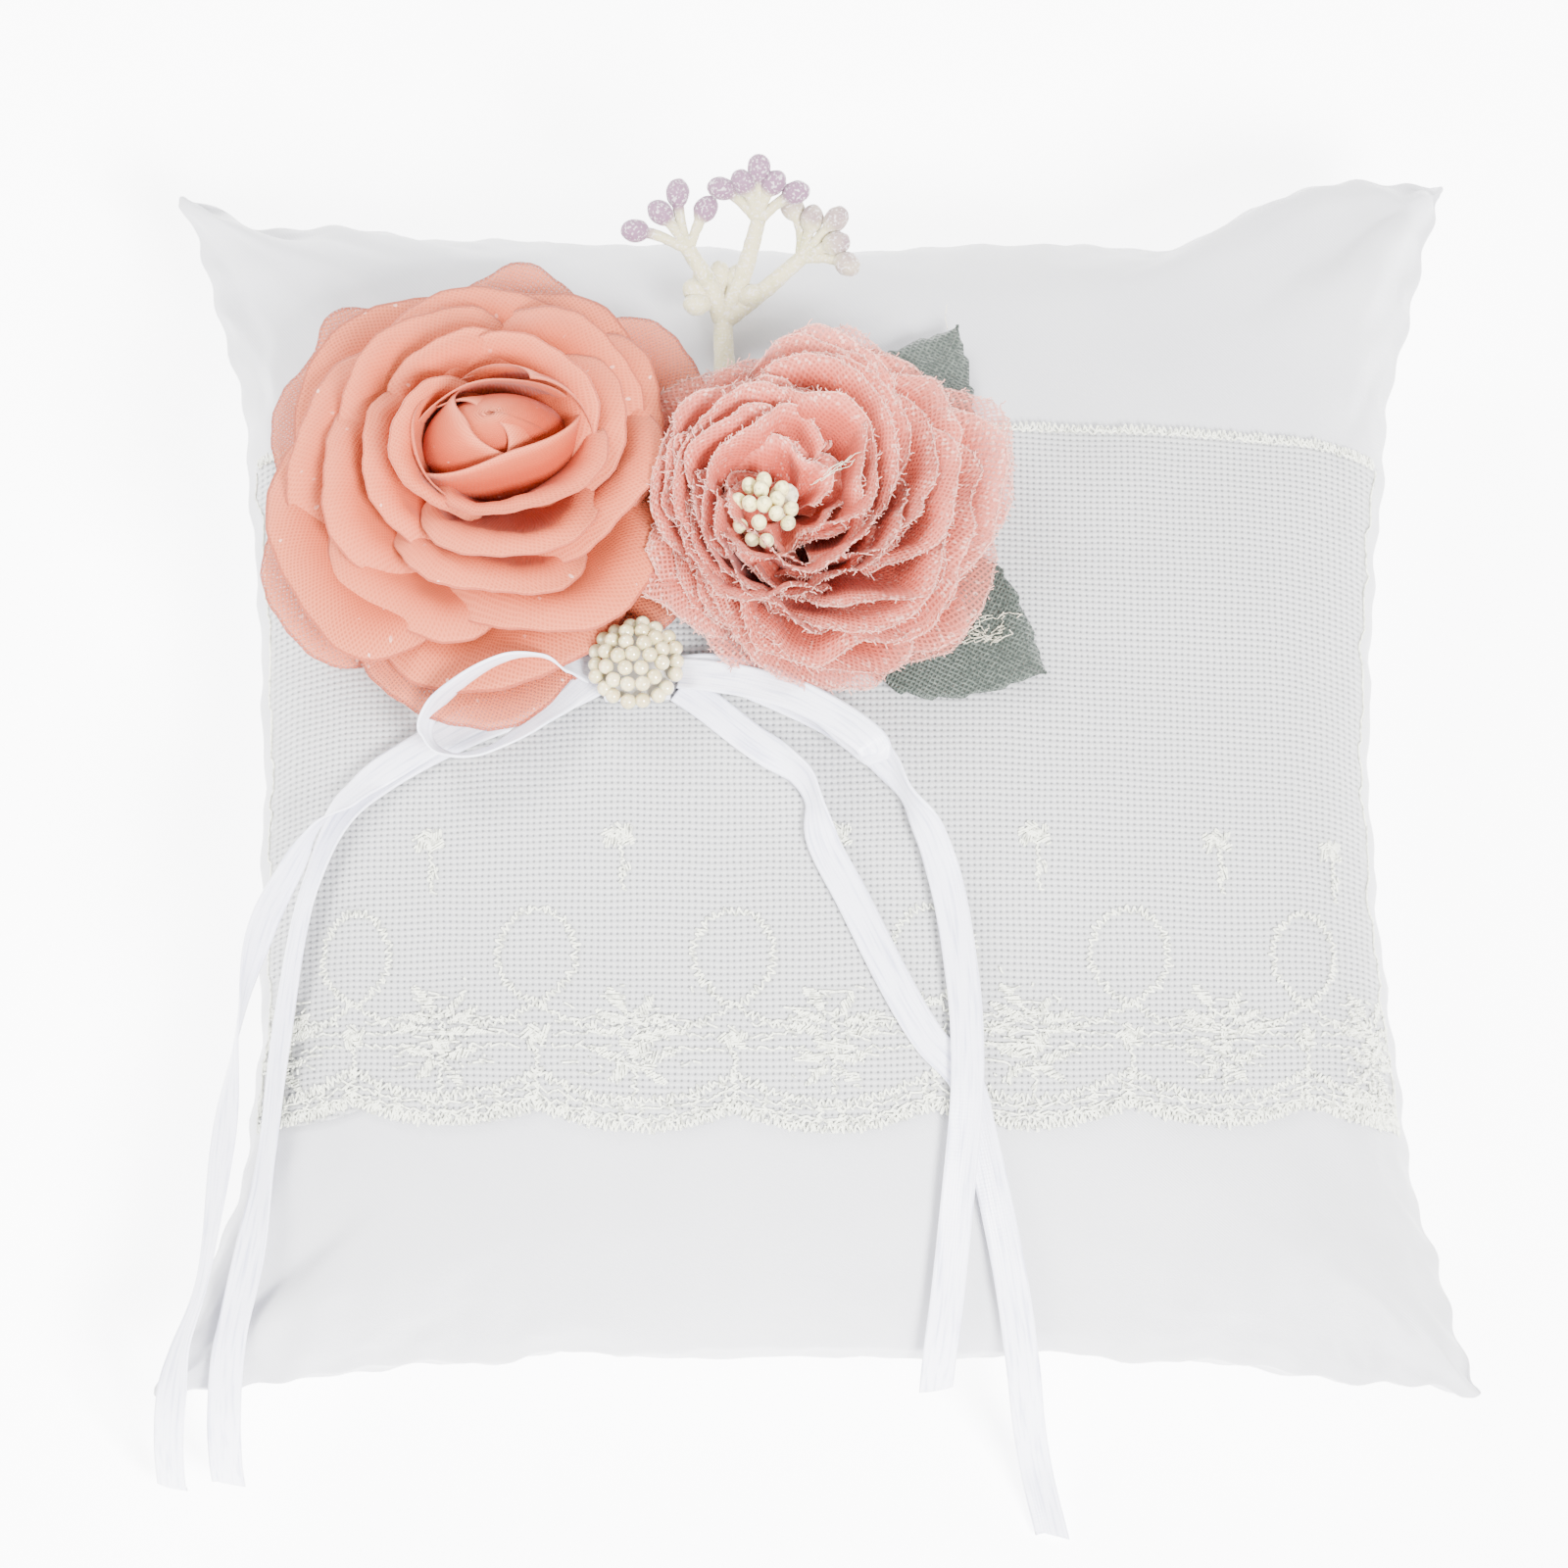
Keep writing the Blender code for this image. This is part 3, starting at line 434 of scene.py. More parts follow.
@dataclass(frozen=True)
class FeltFinish:
    """Matt felt or wadding."""

    name: str = "felt"
    colour: tuple[float, float, float] = (0.60, 0.57, 0.54)

    def build(self) -> bpy.types.Material:
        """Make the material."""
        wire = Wire(self.name, 0.95)
        place = wire.place("Object")
        fibre = wire.noise(place, 0.0008, 6.0)
        dark = tuple(0.8 * value for value in self.colour)
        wire.colour(wire.mix(fibre, dark, self.colour))
        wire.bump(fibre, 0.0002)
        return wire.material


# ------------------------------------------------------------------------------- shapes in common
def rng(seed: int) -> np.random.Generator:
    """A random source that gives the same numbers every time."""
    return np.random.default_rng(seed)


def smooth(low: float, high: float, value: np.ndarray) -> np.ndarray:
    """Smooth step from 0 at low to 1 at high."""
    t = np.clip((value - low) / (high - low), 0.0, 1.0)
    return t * t * (3 - 2 * t)


@dataclass
class Patch:
    """A grid of points with texture places, ready to become one sheet of a mesh.

    Attributes:
        points: Rows by columns by three, in metres.
        places: Rows by columns by two, UV in metres.
        marks: Numbers for each point, by attribute name.
        flip: Turn the faces the other way.
        loop: Join the last column to the first.
    """

    points: np.ndarray
    places: np.ndarray
    marks: dict[str, np.ndarray] = field(default_factory=dict)
    flip: bool = False
    loop: bool = False


def make_mesh(name: str, points: np.ndarray, faces: list, edges: list = ()) -> bpy.types.Object:
    """Put a mesh in the scene.

    Args:
        name: Name of the piece.
        points: Vertices in metres.
        faces: Vertex numbers of each face.
        edges: Loose edges, where the mesh is made of lines.

    Returns:
        The new object.
    """
    mesh = bpy.data.meshes.new(name)
    mesh.from_pydata(np.asarray(points, float).tolist(), list(edges), list(faces))
    mesh.update()
    piece = bpy.data.objects.new(name, mesh)
    bpy.context.collection.objects.link(piece)
    return piece


def add_patches(name: str, patches: list[Patch], material: bpy.types.Material) -> bpy.types.Object:
    """One smooth mesh out of several patches.

    Args:
        name: Name of the piece.
        patches: Its sheets.
        material: The finish.

    Returns:
        The new object, with UVs and point attributes.
    """
    points, faces, places, marks, start = [], [], [], {}, 0
    for patch in patches:
        rows, columns = patch.points.shape[:2]
        points.append(patch.points.reshape(-1, 3))
        places.append(patch.places.reshape(-1, 2))
        for key in patch.marks:
            marks.setdefault(key, []).append(np.broadcast_to(patch.marks[key], (rows, columns)).reshape(-1))
        number = start + np.arange(rows * columns).reshape(rows, columns)
        ahead = np.roll(number, -1, axis=1) if patch.loop else number[:, 1:]
        here = number if patch.loop else number[:, :-1]
        quads = np.stack([here[:-1], ahead[:-1], ahead[1:], here[1:]], axis=-1).reshape(-1, 4)
        faces += (quads[:, ::-1] if patch.flip else quads).tolist()
        start += rows * columns
    piece = make_mesh(name, np.vstack(points), faces)
    mesh, flat = piece.data, np.vstack(places)
    layer = mesh.uv_layers.new(name="UVMap")
    corners = np.empty(len(mesh.loops), np.int32)
    mesh.loops.foreach_get("vertex_index", corners)
    layer.data.foreach_set("uv", flat[corners].astype(np.float32).ravel())
    for key, values in marks.items():
        mesh.attributes.new(key, "FLOAT", "POINT").data.foreach_set("value", np.concatenate(values).astype(np.float32))
    mesh.shade_smooth()
    mesh.materials.append(material)
    return piece


def thicken(piece: bpy.types.Object, depth: float) -> None:
    """Give a sheet its thickness, inwards from its outer face."""
    solid = piece.modifiers.new("thickness", "SOLIDIFY")
    solid.thickness = depth
    solid.offset = -1.0
    settle(piece)


def settle(piece: bpy.types.Object) -> None:
    """Apply every modifier of a piece to its mesh."""
    graph = bpy.context.evaluated_depsgraph_get()
    mesh = bpy.data.meshes.new_from_object(piece.evaluated_get(graph), depsgraph=graph)
    piece.modifiers.clear()
    piece.data = mesh


# --------------------------------------------------------------------------------- geometry nodes
class Tree:
    """A Geometry Nodes tree being wired."""

    def __init__(self, name: str) -> None:
        """Start a tree with one geometry input and one geometry output."""
        self.group = bpy.data.node_groups.new(name, "GeometryNodeTree")
        self.group.interface.new_socket("Geometry", in_out="INPUT", socket_type="NodeSocketGeometry")
        self.group.interface.new_socket("Geometry", in_out="OUTPUT", socket_type="NodeSocketGeometry")
        self.values: dict[str, object] = {}

    def input(self, name: str, kind: str, value: object) -> None:
        """Declare a named input and what this tree's use of it is set to."""
        self.group.interface.new_socket(name, in_out="INPUT", socket_type=f"NodeSocket{kind}")
        self.values[name] = value

    def start(self) -> bpy.types.Node:
        """The node that holds the tree's inputs."""
        self.source = self.group.nodes.new("NodeGroupInput")
        return self.source

    def add(self, kind: str, **links: object) -> bpy.types.Node:
        """Add a node; a key that names an input links or sets it, another sets a property."""
        node = self.group.nodes.new(kind)
        for key, value in links.items():
            label = key.replace("_", " ")
            socket = next((s for s in node.inputs if s.name == label and s.enabled), None)
            if socket is None:
                setattr(node, key, value)
            elif isinstance(value, bpy.types.NodeSocket):
                self.group.links.new(value, socket)
            else:
                socket.default_value = value
        return node

    def complete(self, piece: bpy.types.Object, shape: bpy.types.NodeSocket, material: bpy.types.NodeSocket) -> None:
        """Shade a shape smooth, give it its material and end the tree there."""
        whole = self.add("GeometryNodeRealizeInstances", Geometry=shape)
        even = self.add("GeometryNodeSetShadeSmooth", Geometry=whole.outputs[0])
        dressed = self.add("GeometryNodeSetMaterial", Geometry=even.outputs[0], Material=material)
        self.run(piece, dressed.outputs[0])

    def run(self, piece: bpy.types.Object, result: bpy.types.NodeSocket) -> None:
        """End the tree at result and turn the piece into the plain mesh that it makes."""
        sink = self.group.nodes.new("NodeGroupOutput")
        self.group.links.new(result, sink.inputs["Geometry"])
        use = piece.modifiers.new("build", "NODES")
        use.node_group = self.group
        for item in self.group.interface.items_tree:
            if item.in_out == "INPUT" and item.name in self.values:
                use[item.identifier] = self.values[item.name]
        settle(piece)


@dataclass(frozen=True)
class StitchTree:
    """Sweeps each edge of a piece into one plump stitch of thread."""

    radius: float = 0.00019
    waver: float = 0.00010
    steps: int = 4
    sides: int = 4
    seed: int = 1

    def run(self, piece: bpy.types.Object, material: bpy.types.Material) -> None:
        """Replace the lines of a piece by thread."""
        tree = Tree("stitches")
        tree.input("Thread Radius", "Float", self.radius)
        tree.input("Waver", "Float", self.waver)
        tree.input("Seed", "Int", self.seed)
        tree.input("Thread", "Material", material)
        source = tree.start()
        line = tree.add("GeometryNodeMeshToCurve", Mesh=source.outputs["Geometry"])
        fine = tree.add("GeometryNodeResampleCurve", Curve=line.outputs[0], Count=self.steps)
        low = tree.add("ShaderNodeVectorMath", operation="SCALE")
        low.inputs[0].default_value = (-1.0, -1.0, 0.0)
        high = tree.add("ShaderNodeVectorMath", operation="SCALE")
        high.inputs[0].default_value = (1.0, 1.0, 0.6)
        for node in (low, high):
            tree.group.links.new(source.outputs["Waver"], node.inputs["Scale"])
        shake = tree.add("FunctionNodeRandomValue", data_type="FLOAT_VECTOR", Seed=source.outputs["Seed"])
        tree.group.links.new(low.outputs[0], shake.inputs[0])
        tree.group.links.new(high.outputs[0], shake.inputs[1])
        moved = tree.add("GeometryNodeSetPosition", Geometry=fine.outputs[0], Offset=shake.outputs[0])
        along = tree.add("GeometryNodeSplineParameter")
        arch = tree.add("ShaderNodeMath", operation="SINE")
        turn = tree.add("ShaderNodeMath", operation="MULTIPLY")
        tree.group.links.new(along.outputs["Factor"], turn.inputs[0])
        turn.inputs[1].default_value = math.pi
        tree.group.links.new(turn.outputs[0], arch.inputs[0])
        plump = tree.add("ShaderNodeMath", operation="MULTIPLY_ADD")
        tree.group.links.new(arch.outputs[0], plump.inputs[0])
        plump.inputs[1].default_value = 0.6
        plump.inputs[2].default_value = 0.4
        size = tree.add("GeometryNodeSetCurveRadius", Curve=moved.outputs[0], Radius=plump.outputs[0])
        thread = source.outputs["Thread Radius"]
        ring = tree.add("GeometryNodeCurvePrimitiveCircle", Resolution=self.sides, Radius=thread)
        swept = tree.add("GeometryNodeCurveToMesh", Curve=size.outputs[0], Profile_Curve=ring.outputs[0])
        swept.inputs["Fill Caps"].default_value = True
        tree.complete(piece, swept.outputs[0], source.outputs["Thread"])


@dataclass(frozen=True)
class BeadTree:
    """Puts a round bead on each point of a piece."""

    diameter: float
    spread: float = 0.04
    detail: int = 3
    stretch: tuple[float, float, float] = (1.0, 1.0, 1.0)
    seed: int = 1

    def run(self, piece: bpy.types.Object, material: bpy.types.Material) -> None:
        """Replace the points of a piece by beads."""
        tree = Tree("beads")
        tree.input("Diameter", "Float", self.diameter)
        tree.input("Size Spread", "Float", self.spread)
        tree.input("Seed", "Int", self.seed)
        tree.input("Bead", "Material", material)
        source = tree.start()
        half = tree.add("ShaderNodeMath", operation="MULTIPLY")
        tree.group.links.new(source.outputs["Diameter"], half.inputs[0])
        half.inputs[1].default_value = 0.5
        ball = tree.add("GeometryNodeMeshIcoSphere", Radius=half.outputs[0], Subdivisions=self.detail)
        least = tree.add("ShaderNodeMath", operation="SUBTRACT")
        least.inputs[0].default_value = 1.0
        tree.group.links.new(source.outputs["Size Spread"], least.inputs[1])
        size = tree.add("FunctionNodeRandomValue", data_type="FLOAT", Seed=source.outputs["Seed"])
        tree.group.links.new(least.outputs[0], size.inputs[2])
        size.inputs[3].default_value = 1.0
        shape = tree.add("ShaderNodeVectorMath", operation="SCALE")
        shape.inputs[0].default_value = self.stretch
        tree.group.links.new(size.outputs[1], shape.inputs["Scale"])
        spots = tree.add("GeometryNodeMeshToPoints", Mesh=source.outputs["Geometry"])
        normal = tree.add("GeometryNodeInputNamedAttribute", data_type="FLOAT_VECTOR", Name="lean")
        way = tree.add("FunctionNodeAlignRotationToVector", Vector=normal.outputs[0])
        placed = tree.add("GeometryNodeInstanceOnPoints", Points=spots.outputs[0], Instance=ball.outputs[0])
        tree.group.links.new(way.outputs[0], placed.inputs["Rotation"])
        tree.group.links.new(shape.outputs[0], placed.inputs["Scale"])
        tree.complete(piece, placed.outputs[0], source.outputs["Bead"])


def add_beads(name: str, spots: np.ndarray, leans: np.ndarray, tree: BeadTree, material) -> bpy.types.Object:
    """Beads at the given spots, each standing along its lean."""
    piece = make_mesh(name, spots, [])
    mark = piece.data.attributes.new("lean", "FLOAT_VECTOR", "POINT")
    mark.data.foreach_set("vector", np.asarray(leans, np.float32).ravel())
    tree.run(piece, material)
    return piece


def add_stitches(name: str, lines: list[np.ndarray], tree: StitchTree, material) -> bpy.types.Object:
    """Thread laid along each two-point line."""
    ends = np.asarray(lines, float).reshape(-1, 3)
    edges = [(2 * k, 2 * k + 1) for k in range(len(ends) // 2)]
    piece = make_mesh(name, ends, [], edges)
    tree.run(piece, material)
    return piece


# ----------------------------------------------------------------------------------- the pillow
@dataclass(frozen=True)
class PillowSize:
    """Sizes of the stuffed cover as it lies on its back, in metres."""

    width: float = 0.200
    height: float = 0.200
    side_pull: float = 0.14
    end_pull: float = 0.09
    rise: float = 0.030
    drop: float = 0.038
    seam: float = 0.028
    steps: int = 92
    pucker: float = 0.00105
    pucker_pitch: float = 0.0085

    def skin(self, across: np.ndarray, along: np.ndarray, front: bool) -> np.ndarray:
        """Points of the smooth cover at grid places from -1 to 1 each way."""
        u, v = np.sin(np.pi / 2 * across), np.sin(np.pi / 2 * along)
        x = self.width / 2 * u * (1 - self.side_pull * (1 - v * v))
        y = self.height / 2 * v * (1 - self.end_pull * (1 - u * u))
        swell = np.clip(np.cos(np.pi / 2 * across) * np.cos(np.pi / 2 * along), 0.0, None)
        if front:
            return np.stack([x, y, self.seam + self.rise * swell], axis=-1)
        return np.stack([x, y, np.maximum(self.seam - self.drop * swell, 0.0)], axis=-1)

    def grid(self, x: float, y: float) -> tuple[float, float]:
        """Grid place of a point in plan."""
        u = v = 0.0
        for _ in range(25):
            u = min(1.0, max(-1.0, x / (self.width / 2 * (1 - self.side_pull * (1 - v * v)))))
            v = min(1.0, max(-1.0, y / (self.height / 2 * (1 - self.end_pull * (1 - u * u)))))
        return math.asin(u) * 2 / math.pi, math.asin(v) * 2 / math.pi



# Each corner: its side in X and in Y, the depth of its creases in metres and their turn in radians.
CORNER_CREASES = ((-1, 1, 0.0030, 0.5), (1, 1, -0.0028, 1.4), (-1, -1, 0.0024, 2.2), (1, -1, 0.0026, 0.1))
# Each corner: its side in X and in Y, and how far it is drawn out along X and along Y, in metres.
CORNER_EARS = ((-1, 1, 0.0018, 0.0012), (1, 1, -0.0006, -0.0006), (-1, -1, 0.0004, -0.0012), (1, -1, 0.0002, -0.0016))
# Steps of the cover's grid over which its general swelling is evened out, an odd number.
FOLD_SPAN = 31


class PillowCover:
    """The satin cover and its stuffing, sewn along four sides."""

    def __init__(self, size: PillowSize = PillowSize()) -> None:
        """Remember the sizes."""
        self.size = size

    def build(self, satin: bpy.types.Material) -> None:
        """Make the cover, inflate it and work its seams.

        Args:
            satin: The cover's finish.
        """
        count = self.size.steps
        steps = np.linspace(-1.0, 1.0, count + 1)
        across, along = np.meshgrid(steps, steps)
        front = self.size.skin(across, along, True)
        back = self.size.skin(across, along, False)
        number = np.arange((count + 1) ** 2).reshape(count + 1, count + 1)
        inner = np.full_like(number, -1)
        inner[1:-1, 1:-1] = number.size + np.arange((count - 1) ** 2).reshape(count - 1, count - 1)
        under = np.where(inner < 0, number, inner)
        points = np.vstack([front.reshape(-1, 3), back[1:-1, 1:-1].reshape(-1, 3)])

        def quads(table: np.ndarray) -> np.ndarray:
            return np.stack([table[:-1, :-1], table[:-1, 1:], table[1:, 1:], table[1:, :-1]], -1).reshape(-1, 4)

        faces = quads(number).tolist() + quads(under)[:, ::-1].tolist()
        self.piece = make_mesh("satin_cover", points, faces)
        self.places = np.vstack([
            np.stack([across, along, np.ones_like(across)], -1).reshape(-1, 3),
            np.stack([across, along, -np.ones_like(across)], -1)[1:-1, 1:-1].reshape(-1, 3),
        ])
        self.inflate()
        self.work_seams()
        round_off = self.piece.modifiers.new("smooth", "SUBSURF")
        round_off.levels = round_off.render_levels = 1
        settle(self.piece)
        self.piece.data.shade_smooth()
        self.piece.data.materials.append(satin)
        self.tree = self.make_tree()

    def inflate(self) -> None:
        """Let the stuffing press the cloth out, so that it pulls in and folds at its seams."""
        before = self.read()
        cloth = self.piece.modifiers.new("cloth", "CLOTH")
        settings = cloth.settings
        settings.quality = 5
        settings.mass = 0.3
        settings.tension_stiffness = settings.compression_stiffness = 25
        settings.shear_stiffness = 10
        settings.bending_stiffness = 0.08
        settings.use_pressure = True
        settings.uniform_pressure_force = 3.5
        settings.shrink_min = -0.015
        settings.effector_weights.gravity = 0.0
        cloth.collision_settings.use_collision = False
        cloth.point_cache.frame_end = 18
        scene = bpy.context.scene
        for number in range(1, 19):
            scene.frame_set(number)
        graph = bpy.context.evaluated_depsgraph_get()
        mesh = bpy.data.meshes.new_from_object(self.piece.evaluated_get(graph), depsgraph=graph)
        self.piece.modifiers.clear()
        scene.frame_set(1)
        after = np.empty(len(mesh.vertices) * 3)
        mesh.vertices.foreach_get("co", after)
        move = self.folds(after.reshape(-1, 3) - before)
        span = np.linalg.norm(move, axis=1, keepdims=True)
        limit = 0.0025
        self.write(before + move * limit * np.tanh(span / limit) / np.maximum(span, 1e-9))

    def folds(self, move: np.ndarray) -> np.ndarray:
        """The part of a movement that varies within a few centimetres, without the general swelling."""
        count = self.size.steps + 1
        kernel = np.hanning(FOLD_SPAN)
        kernel /= kernel.sum()
        front = move[: count * count].reshape(count, count, 3)
        back = front.copy()
        back[1:-1, 1:-1] = move[count * count :].reshape(count - 2, count - 2, 3)
        kept = []
        for grid in (front, back):
            margin = (FOLD_SPAN // 2, FOLD_SPAN // 2)
            even = np.pad(grid, (margin, margin, (0, 0)), mode="reflect", reflect_type="odd")
            for axis in (0, 1):
                even = np.apply_along_axis(lambda row: np.convolve(row, kernel, "valid"), axis, even)
            kept.append(grid - even)
        return np.vstack([kept[0].reshape(-1, 3), kept[1][1:-1, 1:-1].reshape(-1, 3)])

    def read(self) -> np.ndarray:
        """The cover's points."""
        points = np.empty(len(self.piece.data.vertices) * 3)
        self.piece.data.vertices.foreach_get("co", points)
        return points.reshape(-1, 3)

    def write(self, points: np.ndarray) -> None:
        """Move the cover's points."""
        self.piece.data.vertices.foreach_set("co", points.astype(np.float32).ravel())
        self.piece.data.update()

    def work_seams(self) -> None:
        """Pucker the cloth along its seams and crease its corners."""
        size, points = self.size, self.read()
        across, along, side = self.places.T
        u, v = np.sin(np.pi / 2 * across), np.sin(np.pi / 2 * along)
        x, y = u * size.width / 2, v * size.height / 2
        from_side, from_end = size.width / 2 - np.abs(x), size.height / 2 - np.abs(y)
        height = np.zeros(len(points))
        pitch, deepest = size.pucker_pitch, 0.004
        for edge, run, shift in ((from_side, y, np.sign(x) * 1.7), (from_end, x, np.sign(y) * 0.9)):
            phase = 2 * np.pi * run / pitch + 1.6 * np.sin(run / 0.019 + shift) + 0.9 * np.sin(run / 0.007 - shift)
            amount = 0.55 + 0.45 * np.sin(run / 0.023 + 2.1 * shift)
            reach = 0.006 + 0.005 * (0.5 + 0.5 * np.sin(run / 0.031 + shift))
            height += (
                size.pucker * amount * np.sin(phase) * (edge / deepest)
                * np.exp(1 - edge / deepest - edge / reach) * 1.6
            )
        for sx, sy, depth, turn in CORNER_CREASES:
            out = np.hypot(x - sx * size.width / 2, y - sy * size.height / 2)
            angle = np.arctan2(-(y - sy * size.height / 2) * sy, -(x - sx * size.width / 2) * sx)
            bell = np.exp(-((out - 0.021) / 0.012) ** 2)
            height += depth * bell * np.cos(5.0 * (angle - np.pi / 4) + turn) * np.sin(2 * np.clip(angle, 0, np.pi / 2))
        soft = np.array([noise.noise(Vector((a / 0.045, b / 0.045, 3.0 * c))) for a, b, c in zip(x, y, side)])
        fine = np.array([noise.noise(Vector((a / 0.016, b / 0.016, 7.0 + c))) for a, b, c in zip(x, y, side)])
        inside = smooth(0.004, 0.03, np.minimum(from_side, from_end))
        height += inside * (0.0026 * soft + 0.00045 * fine)
        resting = (side < 0) & (points[:, 2] < 0.0015)
        points[:, 2] += np.where(resting, 0.0, side * height)
        wave = 0.00055 * np.sin(2 * np.pi * (x + y) / pitch)
        rim = np.exp(-np.minimum(from_side, from_end) / 0.003)
        points[:, 0] -= np.sign(x) * wave * rim * (from_side < from_end)
        points[:, 1] -= np.sign(y) * wave * rim * (from_side >= from_end)
        lobe = np.exp(-(((x - 0.082) / 0.021) ** 2 + ((y - 0.100) / 0.024) ** 2))
        dip = np.exp(-(((x - 0.054) / 0.010) ** 2 + ((y - 0.100) / 0.012) ** 2))
        notch = np.exp(-(((x + 0.086) / 0.007) ** 2 + ((y - 0.100) / 0.010) ** 2))
        points[:, 1] += 0.0050 * lobe - 0.0024 * dip - 0.0025 * notch
        points[:, 0] += 0.0020 * lobe
        points[:, 0] += 0.0036 * np.exp(-(((y + 0.055) / 0.030) ** 2)) * smooth(0.5, 1.0, -u)
        points[:, 2] += np.where(side > 0, 1.0, 0.4) * (0.0045 * lobe - 0.0015 * dip)
        for sx, sy, wide, tall in CORNER_EARS:
            near = np.exp(-np.hypot(x - sx * size.width / 2, y - sy * size.height / 2) / 0.014)
            points[:, 0] += sx * wide * near
            points[:, 1] += sy * tall * near
        points[:, 2] = np.maximum(points[:, 2], 0.0)
        self.write(points)

    def make_tree(self) -> BVHTree:
        """A search tree over the finished cover, for laying trims on it."""
        return BVHTree.FromObject(self.piece, bpy.context.evaluated_depsgraph_get())

    def misses(self, x: float, y: float) -> bool:
        """Whether a place in plan is outside the cover."""
        return self.tree.ray_cast(Vector((x, y, 0.2)), Vector((0.0, 0.0, -1.0)))[0] is None

    def land(self, x: float, y: float, lift: float = 0.0) -> Vector:
        """Point that lies lift above the front of the cover at a place in plan."""
        hit = self.tree.ray_cast(Vector((x, y, 0.2)), Vector((0.0, 0.0, -1.0)))[0]
        level = hit.z if hit is not None else self.size.seam
        return Vector((x, y, level + lift))

    def slope(self, x: float, y: float) -> Vector:
        """Outward direction of the front of the cover, evened out over a few millimetres."""
        step = 0.003
        dx = self.land(x + step, y).z - self.land(x - step, y).z
        dy = self.land(x, y + step).z - self.land(x, y - step).z
        return Vector((-dx / (2 * step), -dy / (2 * step), 1.0)).normalized()

    def declare(self) -> None:
        """Attach the cover to the body and hide the CAD cover and filling that it replaces."""
        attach(self.piece, BODY)
        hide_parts("front_cover", "back_cover", "filling")
        LOG.info("cover: %d faces", len(self.piece.data.polygons))


# ------------------------------------------------------------------------------------- the lace
@dataclass(frozen=True)
class LaceSize:
    """Sizes of the lace band, in metres."""

    top: float = 0.050
    top_swing: float = 0.0018
    bottom: float = -0.0616
    bottom_swing: float = 0.006
    pitch: float = 0.030
    scallop: float = 0.0031
    first_cusp: float = -0.1025
    squeeze: float = 0.085
    motif_lift: float = 0.0013
    sprig_level: float = -0.0196
    loop_level: float = -0.0382
    flower_level: float = -0.0508
    scribbles: int = 60
    lift: float = 0.00085
    columns: int = 260
    rows: int = 150


